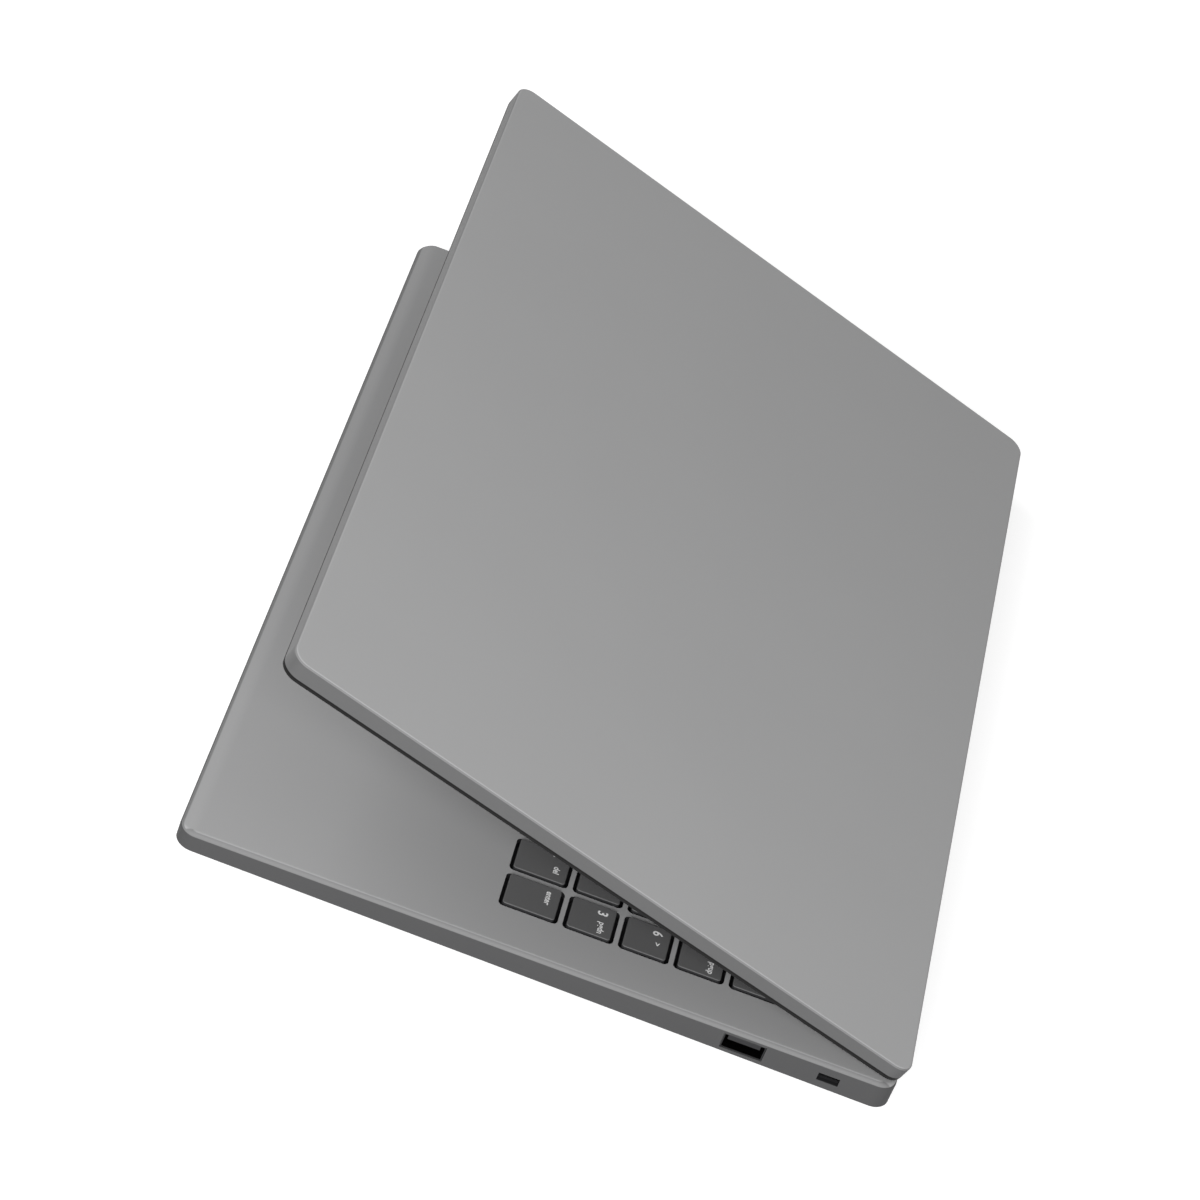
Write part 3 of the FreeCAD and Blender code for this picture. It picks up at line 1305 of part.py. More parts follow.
def build_heat_pipe():
    """Make the flat heat pipe from the processor round the fan's corner and over the fins."""
    riser = "(fan_x - fan_width/2 - pipe_width/2 - 2*board_fan_gap)"
    fins = f"({FIN_FRONT} + fin_depth/2)"
    level = (PIPE_BOTTOM, f"{PIPE_BOTTOM} + pipe_height")
    start = "processor_x - cold_plate_width/2"
    rise = (f"{PROCESSOR_Y} + pipe_bend", f"{fins} - pipe_bend")
    end = "fan_x + fan_width/2 - pipe_overhang"
    pieces = [
        box("pipe_start", (start, f"{riser} - pipe_bend"), about(PROCESSOR_Y, "pipe_width"), level),
        pipe_bend("pipe_bend_one", (f"{riser} - pipe_bend", f"{PROCESSOR_Y} + pipe_bend"), 3),
        box("pipe_riser", about(riser, "pipe_width"), rise, level),
        pipe_bend("pipe_bend_two", (f"{riser} + pipe_bend", f"{fins} - pipe_bend"), 1),
        box("pipe_end", (f"{riser} + pipe_bend", end), about(fins, "pipe_width"), level),
    ]
    return fuse("heat_pipe", pieces)


def build_fin_stack():
    """Make the comb of fins under the end of the heat pipe."""
    depth = (FIN_FRONT, f"{FIN_FRONT} + fin_depth")
    low = f"{FLOOR} + fin_lift"
    width = f"{FINS - 1}*fin_pitch + fin_thickness"
    pieces = [box("fin_cap", about("fan_x", width), depth, (f"{FIN_TOP} - fin_thickness", FIN_TOP))]
    for place in range(FINS):
        x = about(f"fan_x + {place - (FINS - 1) / 2}*fin_pitch", "fin_thickness")
        pieces.append(box(f"fin_{place}", x, depth, (low, f"{FIN_TOP} - fin_thickness/2")))
    return fuse("fin_stack", pieces)


POST_DROP = "(fan_height/2 - fan_wall)"


def build_fan_housing():
    """Make the fan's housing, open below and to the fins, with the post that its rotor turns on."""
    x, y = about("fan_x", "fan_width"), about(FAN_Y, "fan_width")
    block = box("fan_block", x, y, (FLOOR, FAN_TOP))
    inside = box(
        "fan_inside",
        about("fan_x", "fan_width - 2*fan_wall"),
        (f"{FAN_Y} - fan_width/2 + fan_wall", f"{FAN_Y} + fan_width/2 + {OVERSHOOT}"),
        (f"{FLOOR} + fan_wall", f"{FAN_TOP} - fan_wall"),
    )
    inlet_depth = (f"{FLOOR} - {OVERSHOOT}", f"{FLOOR} + fan_wall + {OVERSHOOT}")
    inlet = rod("fan_inlet", "Z", "fan_inlet_radius", inlet_depth, ("fan_x", FAN_Y))
    shell = cut("fan_shell", block, fuse("fan_hollow", [inside, inlet]))
    post_depth = (f"{FAN_TOP} - fan_wall - {POST_DROP}", f"{FAN_TOP} - fan_wall/2")
    post = rod("fan_post", "Z", "rotor_post_radius", post_depth, ("fan_x", FAN_Y))
    bore_depth = (f"{post_depth[0]} - {OVERSHOOT}", f"{FAN_TOP} - fan_wall")
    bore = rod("fan_bore", "Z", "rotor_shaft_radius + rotor_shaft_clearance", bore_depth, ("fan_x", FAN_Y))
    return cut("fan_housing", fuse("fan_housing_whole", [shell, post]), bore)


def build_fan_rotor():
    """Make the fan's rotor: a cup with blades, and the shaft that turns in the housing's post."""
    low = f"{FLOOR} + fan_wall + rotor_gap"
    high = f"{FAN_TOP} - fan_wall - rotor_gap"
    at = ("fan_x", FAN_Y)
    cup = rod("rotor_cup", "Z", "rotor_hub_radius", (low, high), at)
    well_depth = (f"{low} + rotor_hub_wall", f"{high} + {OVERSHOOT}")
    well = rod("rotor_well", "Z", "rotor_hub_radius - rotor_hub_wall", well_depth, at)
    hub = cut("rotor_hub", cup, well)
    shaft = rod("rotor_shaft", "Z", "rotor_shaft_radius", (f"{low} + rotor_hub_wall/2", high), at)
    pieces = [hub, shaft]
    for place in range(BLADES):
        blade = doc.addObject("Part::Box", f"rotor_blade_{place}")
        turn = Rotation(Vector(0, 0, 1), 360 * place / BLADES)
        blade.Placement = Placement(Vector(), turn)
        inner = "(rotor_hub_radius - rotor_hub_wall/2)"
        bind(blade, Length=f"rotor_radius - {inner}", Width="rotor_blade_thickness", Height=span(low, high))
        angle = f"{360 * place / BLADES} deg"
        bind(blade, Placement_Base_x=f"fan_x + {inner}*cos({angle})")
        bind(blade, Placement_Base_y=f"{FAN_Y} + {inner}*sin({angle})")
        bind(blade, Placement_Base_z=low)
        pieces.append(blade)
    return fuse("fan_rotor", pieces)


def build_battery():
    """Make the battery pack, with grooves between its cells."""
    front = f"(battery_from_front - {REAR})"
    y = (front, f"{front} + battery_depth")
    top = f"{FLOOR} + battery_height"
    block = box("battery_block", about("0", BATTERY_WIDTH), y, (FLOOR, top))
    grooves = []
    for place in range(1, BATTERY_CELLS):
        x = about(f"{BATTERY_WIDTH}*{place / BATTERY_CELLS - 0.5}", "battery_groove")
        depth = (f"{top} - battery_groove", f"{top} + {OVERSHOOT}")
        along = (f"{y[0]} - {OVERSHOOT}", f"{y[1]} + {OVERSHOOT}")
        grooves.append(box(f"battery_groove_{place}", x, along, depth))
    return cut("battery_pack", block, group("battery_grooves", grooves))


def build_card(name, x, y, along):
    """Make a plug-in card with its socket, chip and post, on a board's top."""
    low, high = x
    card = (f"{BOARD_TOP} + card_lift", f"{BOARD_TOP} + card_lift + card_thickness")
    chip = (f"{card[1]} - card_thickness/2", f"{card[1]} + card_chip_height")
    chip_x = (f"{low} + 2*card_socket", f"{low} + 2*card_socket + ({along})/2")
    post_at = (f"{high} - 2*card_post_radius", f"({y[0]} + {y[1]})/2")
    pieces = [
        box(f"{name}_card", x, y, card),
        box(f"{name}_socket", (low, f"{low} + card_socket"), y, (BOARD_TOP, card[1])),
        box(f"{name}_chip", chip_x, (f"{y[0]} + card_lift", f"{y[1]} - card_lift"), chip),
        rod(f"{name}_post", "Z", "card_post_radius", (BOARD_TOP, card[1]), post_at),
    ]
    return fuse(name, pieces)


def build_cards():
    """Make the solid state drive on the side board and the wireless card on the mainboard."""
    start = f"({board_ranges()[1][0]} + card_socket)"
    front = f"({BOARD_FRONT} + drive_from_front)"
    drive = build_card(
        "solid_state_drive",
        (start, f"{start} + drive_length"),
        (front, f"{front} + drive_width"),
        "drive_length",
    )
    wireless = build_card(
        "wireless_card",
        about(WIRELESS_X, "wireless_length"),
        about(WIRELESS_Y, "wireless_width"),
        "wireless_length",
    )
    return drive, wireless


def build_side_board_cable():
    """Make the flat cable that joins the two boards in front of the fan."""
    main, side = board_ranges()
    x = (f"{main[1]} - ribbon_overlap", f"{side[0]} + ribbon_overlap/2")
    y = (f"{BOARD_FRONT} + ribbon_thickness", f"{BOARD_FRONT} + ribbon_thickness + ribbon_width")
    return box("side_board_cable", x, y, (BOARD_TOP, f"{BOARD_TOP} + ribbon_thickness"))


def build_speaker(side, word):
    """Make a speaker on the floor, with its cone's recess."""
    x = speaker_range(side)
    y = (SPEAKER_FRONT, f"{SPEAKER_FRONT} + speaker_depth")
    block = box(f"speaker_block_{word}", x, y, (FLOOR, f"{FLOOR} + speaker_height"))
    cone_depth = (f"{FLOOR} - {OVERSHOOT}", f"{FLOOR} + speaker_cone_depth")
    at = (f"({x[0]} + {x[1]})/2", f"{SPEAKER_FRONT} + speaker_depth/2")
    cone = rod(f"speaker_cone_{word}", "Z", "speaker_cone_radius", cone_depth, at)
    return cut(f"speaker_{word}", block, cone)


def build_socket(name, side, middle, width, height, tongue_width, tongue_height, tongue_rise="0"):
    """Make a flat socket: a thin metal shell with a back, and a tongue inside it."""
    outer = (f"{SIDE} - port_recess - port_depth", f"{SIDE} - port_recess")
    x = on_side(outer, side)
    block = box(f"{name}_block", x, about(middle, width), (PORT_BASE, f"{PORT_BASE} + {height}"))
    inner = on_side((f"{outer[0]} + port_back", f"{outer[1]} + {OVERSHOOT}"), side)
    hollow = box(
        f"{name}_hollow",
        inner,
        about(middle, f"{width} - 2*port_wall"),
        (f"{PORT_BASE} + port_wall", f"{PORT_BASE} + {height} - port_wall"),
    )
    tongue_x = on_side((f"{outer[0]} + port_back/2", f"{outer[1]} - tongue_setback"), side)
    level = about(f"{PORT_BASE} + {height}/2 + {tongue_rise}", tongue_height)
    tongue_block = box(f"{name}_tongue", tongue_x, about(middle, tongue_width), level)
    return fuse(name, [cut(f"{name}_shell", block, hollow), tongue_block])


def build_round_socket(name, middle, radius, body, pin_radius=None):
    """Make a round socket: a block with a collar in the left wall, a bore, and a pin where it has one."""
    start = f"port_recess - {SIDE}"
    wall = f"shell_wall + port_clearance - {SIDE}"
    centre = (middle, f"{PORT_BASE} + {body}/2")
    level = (PORT_BASE, f"{PORT_BASE} + {body}")
    block = box(f"{name}_block", (wall, f"{start} + port_depth"), about(middle, body), level)
    collar_length = (start, f"{wall} + port_back")
    collar = rod(f"{name}_collar", "X", f"{radius} + port_collar", collar_length, centre)
    bore_end = f"{start} + bore_depth"
    bore = rod(f"{name}_bore", "X", radius, (f"{start} - {OVERSHOOT}", bore_end), centre)
    solid = fuse(f"{name}_whole", [block, collar])
    if pin_radius is None:
        return cut(name, solid, bore)
    hollow = cut(f"{name}_shell", solid, bore)
    pin = rod(f"{name}_pin", "X", pin_radius, (f"{start} + port_back", f"{bore_end} + port_back"), centre)
    return fuse(name, [hollow, pin])


def build_sockets():
    """Make the sockets of both sides."""
    type_a = ["type_a_width", "type_a_height", "type_a_tongue_width", "type_a_tongue_height"]
    type_a.append("type_a_tongue_rise")
    video = ("video_width", "video_height", "video_tongue_width", "video_tongue_height")
    type_c = ("type_c_width", "type_c_height", "type_c_tongue_width", "type_c_tongue_height")
    return [
        build_socket("type_a_socket_right", 1, TYPE_A_RIGHT_Y, *type_a),
        build_socket("type_a_socket_left", -1, TYPE_A_LEFT_Y, *type_a),
        build_socket("video_socket", -1, VIDEO_Y, *video),
        build_socket("type_c_socket", -1, TYPE_C_Y, *type_c),
        build_round_socket("audio_jack", AUDIO_Y, "audio_radius", "audio_body"),
        build_round_socket("power_inlet", POWER_Y, "power_radius", "power_body", "power_pin_radius"),
    ]


def build_lock_plate():
    """Make the steel plate behind the security lock's slot."""
    plate = box(
        "lock_block",
        (f"{SIDE} - shell_wall - lock_plate_thickness", f"{SIDE} - shell_wall"),
        about(LOCK_Y, "lock_width + 2*lock_plate_margin"),
        about(f"{DECK} - lock_drop", "lock_height + lock_plate_margin"),
    )
    return cut("lock_plate", plate, lock_slot("lock_plate_slot"))


def build_all():
    """Build every sub-part of the laptop, in the order of assembly."""
    parts = [build_bottom_cover(), build_bottom_screws(), build_feet(), build_battery()]
    parts += build_boards()
    parts += build_chips()
    parts += [build_heat_pipe(), build_fin_stack(), build_fan_housing(), build_fan_rotor()]
    parts += build_cards()
    parts.append(build_side_board_cable())
    parts.append(group("speakers", [build_speaker(*each) for each in SIDES]))
    parts += build_sockets()
    parts += [build_lock_plate(), build_top_case(), build_keyboard_plate(), build_dome_sheet()]
    parts += build_keys()
    parts += [build_touchpad(), build_touchpad_bracket(), build_touchpad_switch()]
    for each in SIDES:
        parts += [build_hinge_base_bracket(*each), build_hinge_lid_bracket(*each)]
        parts.append(build_hinge_pin(*each))
    parts.append(on_lid(group("hinge_sleeves", [build_hinge_sleeve(*each) for each in SIDES])))
    parts += build_hinge_screws()
    parts += [build_lid_cover(), build_display_bezel(), build_display_panel()]
    parts += build_camera()
    parts += build_display_cables()
    parts.append(build_bumpers())
    return parts


def check(parts):
    """Stop if any object failed, or any sub-part has no sound shape."""
    for item in doc.Objects:
        if {"Invalid", "Error"} & set(item.State):
            raise RuntimeError(f"{item.Label} failed: {item.State}")
    for part in parts:
        if part.Shape.isNull() or not part.Shape.isValid():
            raise RuntimeError(f"{part.Label} has no sound shape")


def write(parts):
    """Write each sub-part's shape to its own file."""
    os.makedirs("parts", exist_ok=True)
    for part in parts:
        part.Shape.exportStep(f"parts/{part.Label}.step")


subparts = build_all()
doc.recompute()
check(subparts)
write(subparts)
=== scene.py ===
import json
import logging
import math
from dataclasses import dataclass, field
from enum import Enum
from typing import Iterator

import bmesh
import bpy
from mathutils import Matrix, Vector


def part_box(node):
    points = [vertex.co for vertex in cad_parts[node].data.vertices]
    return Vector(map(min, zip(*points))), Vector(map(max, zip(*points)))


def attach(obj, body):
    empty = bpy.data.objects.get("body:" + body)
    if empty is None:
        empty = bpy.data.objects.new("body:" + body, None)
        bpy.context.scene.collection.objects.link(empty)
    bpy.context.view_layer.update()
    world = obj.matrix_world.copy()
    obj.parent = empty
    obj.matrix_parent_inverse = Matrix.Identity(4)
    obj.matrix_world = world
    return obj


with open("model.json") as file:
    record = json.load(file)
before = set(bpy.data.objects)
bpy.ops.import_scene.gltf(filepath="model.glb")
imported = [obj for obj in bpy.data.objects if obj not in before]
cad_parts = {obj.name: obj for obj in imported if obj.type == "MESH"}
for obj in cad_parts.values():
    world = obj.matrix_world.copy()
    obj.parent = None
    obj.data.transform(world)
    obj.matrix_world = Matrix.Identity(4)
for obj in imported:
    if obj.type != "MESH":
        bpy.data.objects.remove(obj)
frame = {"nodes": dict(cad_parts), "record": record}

logging.basicConfig(level=logging.INFO, format="%(message)s")
log = logging.getLogger("laptop")

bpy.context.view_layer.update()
MM = 0.001
Colour = tuple[float, float, float]
Direction = tuple[float, float, float]
LEVEL_SHARPNESS = 8000.0
FAR = 500.0
MAIN_UNITS = 14.5
FUNCTION_KEYS = 15


class Pattern(Enum):
    """How the fine relief of a finish runs."""

    MOULDED = "moulded"
    BRUSHED = "brushed"


class SurfaceGroup:
    """The shared shader group that gives every finish its fine grain and slow change of tone."""

    GRAIN_DETAIL = 3.0
    GRAIN_ROUGHNESS = 0.6
    CLOUD_SCALE = 14.0
    CLOUD_DETAIL = 4.0

    def __init__(self) -> None:
        """Build the group once, with its inputs and outputs."""
        self.tree = bpy.data.node_groups.new("moulded_surface", "ShaderNodeTree")
        self._sockets()
        self._nodes()

    def _sockets(self) -> None:
        """Name the group's inputs and outputs."""
        inputs = (("Tone", "NodeSocketColor"), ("Spread", "NodeSocketFloat"),
                  ("Grain Scale", "NodeSocketFloat"), ("Roughness", "NodeSocketFloat"),
                  ("Stretch", "NodeSocketVector"))
        for name, kind in inputs:
            self.tree.interface.new_socket(name, in_out="INPUT", socket_type=kind)
        for name, kind in (("Color", "NodeSocketColor"), ("Roughness", "NodeSocketFloat"),
                           ("Height", "NodeSocketFloat")):
            self.tree.interface.new_socket(name, in_out="OUTPUT", socket_type=kind)

    def _nodes(self) -> None:
        """Wire the grain, the clouds of tone and the roughness."""
        nodes, links = self.tree.nodes, self.tree.links
        given = nodes.new("NodeGroupInput")
        result = nodes.new("NodeGroupOutput")
        place = nodes.new("ShaderNodeTexCoord")
        stretch = nodes.new("ShaderNodeVectorMath")
        stretch.operation = "MULTIPLY"
        links.new(place.outputs["Object"], stretch.inputs[0])
        links.new(given.outputs["Stretch"], stretch.inputs[1])
        grain = nodes.new("ShaderNodeTexNoise")
        grain.inputs["Detail"].default_value = self.GRAIN_DETAIL
        grain.inputs["Roughness"].default_value = self.GRAIN_ROUGHNESS
        links.new(stretch.outputs["Vector"], grain.inputs["Vector"])
        links.new(given.outputs["Grain Scale"], grain.inputs["Scale"])
        clouds = nodes.new("ShaderNodeTexNoise")
        clouds.inputs["Scale"].default_value = self.CLOUD_SCALE
        clouds.inputs["Detail"].default_value = self.CLOUD_DETAIL
        links.new(place.outputs["Object"], clouds.inputs["Vector"])
        both = nodes.new("ShaderNodeMath")
        both.operation = "ADD"
        links.new(grain.outputs["Fac"], both.inputs[0])
        links.new(clouds.outputs["Fac"], both.inputs[1])
        centred = nodes.new("ShaderNodeMath")
        centred.operation = "SUBTRACT"
        centred.inputs[1].default_value = 1.0
        links.new(both.outputs["Value"], centred.inputs[0])
        swing = nodes.new("ShaderNodeMath")
        swing.operation = "MULTIPLY_ADD"
        swing.inputs[2].default_value = 1.0
        links.new(centred.outputs["Value"], swing.inputs[0])
        links.new(given.outputs["Spread"], swing.inputs[1])
        tint = nodes.new("ShaderNodeVectorMath")
        tint.operation = "SCALE"
        links.new(given.outputs["Tone"], tint.inputs[0])
        links.new(swing.outputs["Value"], tint.inputs["Scale"])
        rough = nodes.new("ShaderNodeMath")
        rough.operation = "MULTIPLY"
        links.new(given.outputs["Roughness"], rough.inputs[0])
        links.new(swing.outputs["Value"], rough.inputs[1])
        links.new(tint.outputs["Vector"], result.inputs["Color"])
        links.new(rough.outputs["Value"], result.inputs["Roughness"])
        links.new(grain.outputs["Fac"], result.inputs["Height"])


class ZoneGroup:
    """The shared shader group that masks where painted shade goes: what lies below a sloping level, inside a
    box.
    """

    def __init__(self) -> None:
        """Build the group once, with its inputs and its output."""
        self.tree = bpy.data.node_groups.new("painted_shade_zone", "ShaderNodeTree")
        for name, kind in (("Facing", "NodeSocketVector"), ("Level", "NodeSocketFloat"),
                           ("Low", "NodeSocketVector"), ("High", "NodeSocketVector"),
                           ("Sharpness", "NodeSocketFloat")):
            self.tree.interface.new_socket(name, in_out="INPUT", socket_type=kind)
        self.tree.interface.new_socket("Mask", in_out="OUTPUT", socket_type="NodeSocketFloat")
        self._nodes()

    def _math(self, operation: str, *values: bpy.types.NodeSocket | float) -> bpy.types.NodeSocket:
        """Add a math node.

        Args:
            operation: the calculation to do.
            values: its inputs, as sockets or numbers.

        Returns:
            The socket of its result.
        """
        node = self.tree.nodes.new("ShaderNodeMath")
        node.operation = operation
        node.use_clamp = operation == "MULTIPLY_ADD"
        for place, value in enumerate(values):
            if isinstance(value, float):
                node.inputs[place].default_value = value
            else:
                self.tree.links.new(value, node.inputs[place])
        return node.outputs["Value"]

    def _nodes(self) -> None:
        """Wire the level and the box into one mask, the same on the left and the right."""
        nodes, links = self.tree.nodes, self.tree.links
        given = nodes.new("NodeGroupInput")
        place = nodes.new("ShaderNodeTexCoord")
        height = nodes.new("ShaderNodeVectorMath")
        height.operation = "DOT_PRODUCT"
        links.new(place.outputs["Object"], height.inputs[0])
        links.new(given.outputs["Facing"], height.inputs[1])
        depth = self._math("SUBTRACT", given.outputs["Level"], height.outputs["Value"])
        mask = self._math("MULTIPLY_ADD", depth, LEVEL_SHARPNESS, 0.5)
        sharpness = given.outputs["Sharpness"]
        spots = []
        for socket in (place.outputs["Object"], given.outputs["Low"], given.outputs["High"]):
            split = nodes.new("ShaderNodeSeparateXYZ")
            links.new(socket, split.inputs["Vector"])
            spots.append(split)
        spot, low, high = spots
        across = self._math("ABSOLUTE", spot.outputs["X"])
        for value, axis in ((across, "X"), (spot.outputs["Y"], "Y")):
            for more, less in ((value, low.outputs[axis]), (high.outputs[axis], value)):
                inside = self._math("MULTIPLY_ADD", self._math("SUBTRACT", more, less), sharpness, 0.5)
                mask = self._math("MULTIPLY", mask, inside)
        result = nodes.new("NodeGroupOutput")
        links.new(mask, result.inputs["Mask"])


@dataclass(frozen=True)
class Zone:
    """A darker tone painted below a level as shade, inside a box that is the same on both sides, in
    millimetres.
    """

    tone: Colour
    level: float
    facing: Direction = (0.0, 0.0, 1.0)
    low: tuple[float, float] = (-FAR, -FAR)
    high: tuple[float, float] = (FAR, FAR)
    blend: float = 0.1


@dataclass(frozen=True)
class Finish:
    """One finish of the laptop, built on the shared surface group."""

    name: str
    tone: Colour
    roughness: float = 0.5
    spread: float = 0.08
    grain: float = 2500.0
    relief: float = 0.08
    metallic: float = 0.0
    coat: float = 0.0
    specular: float = 0.5
    coat_roughness: float = 0.12
    relief_depth: float = 0.1
    brush_stretch: float = 0.04
    pattern: Pattern = Pattern.MOULDED
    # the zones of painted shade: darker tones on walls, edges, seams and wells
    shade_zones: tuple[Zone, ...] = ()

    def material(self, surface: SurfaceGroup, zone_mask: ZoneGroup) -> bpy.types.Material:
        """Make the finish's material.

        Args:
            surface: the shared group of grain and tone.
            zone_mask: the shared group that masks a zone.

        Returns:
            The new material.
        """
        material = bpy.data.materials.new(self.name)
        material.use_nodes = True
        nodes, links = material.node_tree.nodes, material.node_tree.links
        shader = nodes["Principled BSDF"]
        shader.inputs["Metallic"].default_value = self.metallic
        shader.inputs["Coat Weight"].default_value = self.coat
        shader.inputs["Coat Roughness"].default_value = self.coat_roughness
        shader.inputs["Specular IOR Level"].default_value = self.specular
        group = nodes.new("ShaderNodeGroup")
        group.node_tree = surface.tree
        group.inputs["Tone"].default_value = (*self.tone, 1.0)
        group.inputs["Spread"].default_value = self.spread
        group.inputs["Grain Scale"].default_value = self.grain
        group.inputs["Roughness"].default_value = self.roughness
        across = self.brush_stretch if self.pattern is Pattern.BRUSHED else 1.0
        group.inputs["Stretch"].default_value = (across, 1.0, 1.0)
        if self.shade_zones:
            links.new(self.painted_shade_tone(material.node_tree, zone_mask), group.inputs["Tone"])
        bump = nodes.new("ShaderNodeBump")
        bump.inputs["Strength"].default_value = self.relief
        bump.inputs["Distance"].default_value = self.relief_depth * MM
        links.new(group.outputs["Color"], shader.inputs["Base Color"])
        links.new(group.outputs["Roughness"], shader.inputs["Roughness"])
        links.new(group.outputs["Height"], bump.inputs["Height"])
        links.new(bump.outputs["Normal"], shader.inputs["Normal"])
        return material

    def painted_shade_tone(self, tree: bpy.types.NodeTree, zone_mask: ZoneGroup) -> bpy.types.NodeSocket:
        """Wire the painted shade of each zone, a darker tone, over the finish's own tone.

        Args:
            tree: the material's node tree.
            zone_mask: the shared group that masks a zone.

        Returns:
            The socket of the mixed tone.
        """
        below: bpy.types.NodeSocket | None = None
        for zone in self.shade_zones:
            mask = tree.nodes.new("ShaderNodeGroup")
            mask.node_tree = zone_mask.tree
            mask.inputs["Facing"].default_value = zone.facing
            mask.inputs["Level"].default_value = zone.level * MM
            mask.inputs["Sharpness"].default_value = 1.0 / (zone.blend * MM)
            mask.inputs["Low"].default_value = (zone.low[0] * MM, zone.low[1] * MM, 0.0)
            mask.inputs["High"].default_value = (zone.high[0] * MM, zone.high[1] * MM, 0.0)
            mix = tree.nodes.new("ShaderNodeMix")
            mix.data_type = "RGBA"
            sockets = {socket.identifier: socket for socket in (*mix.inputs, *mix.outputs)}
            sockets["A_Color"].default_value = (*self.tone, 1.0)
            sockets["B_Color"].default_value = (*zone.tone, 1.0)
            if below:
                tree.links.new(below, sockets["A_Color"])
            tree.links.new(mask.outputs["Mask"], sockets["Factor_Float"])
            below = sockets["Result_Color"]
        return below


LID_TONE: Colour = (0.345, 0.345, 0.347)
# painted shade: the case's grey is the lid's grey made a little darker, as the deck's shade
SHADED_CASE_TONE: Colour = (0.305, 0.305, 0.307)
# painted shade: the lid's side walls and the case's walls are painted darker than the top faces, as the
# shade they take from the lamps
LID_WALL_SHADE_TONE: Colour = (0.092, 0.092, 0.093)
CASE_WALL_SHADE_TONE: Colour = (0.06, 0.06, 0.061)
# painted shade: near black in the key wells, inside the lock slot and on the sides of the key caps
WELL_SHADE_TONE: Colour = (0.014, 0.014, 0.015)
# painted shade: a near-black band on the lid's lower rim, along the seam by the bezel
SEAM_SHADE_TONE: Colour = (0.004, 0.004, 0.004)
# painted shade: the rounded edges of the lid and the deck and the deck's front lip are painted darker, which
# dims their highlights
EDGE_SHADE_TONE: Colour = (0.165, 0.165, 0.166)
# painted shade: the lid's front wall is painted darker than its top
LID_FRONT_SHADE_TONE: Colour = (0.19, 0.19, 0.191)
LID_FACING: Direction = (0.0, 0.29929, 0.95416)
LID_TOP_FACING: Direction = (0.0, 0.304619, 0.952468)
LID_EDGE_LEVEL = 57.7
LID_WALL_LEVEL = 57.25
LID_SEAM_LEVEL = 52.45
LID_SIDE = (176.0, -FAR)
LID_SIDE_BLEND = 5.0
LID_FRONT = (FAR, -95.0)
DECK_EDGE_LEVEL = 15.38
DECK_SIDE = (178.3, -FAR)
DECK_SIDE_BLEND = 0.5
DECK_LIP_LEVEL = 14.5
DECK_LIP = (FAR, -112.0)
CASE_WALL_LEVEL = 14.0
KEY_WELL_LEVEL = 15.4
KEY_WELLS = ((-1.0, -18.6), (163.6, 90.8))
LOCK_SLOT = ((170.0, 92.0), (179.8, 102.0))
CAP_SKIRT_LEVEL = 16.12


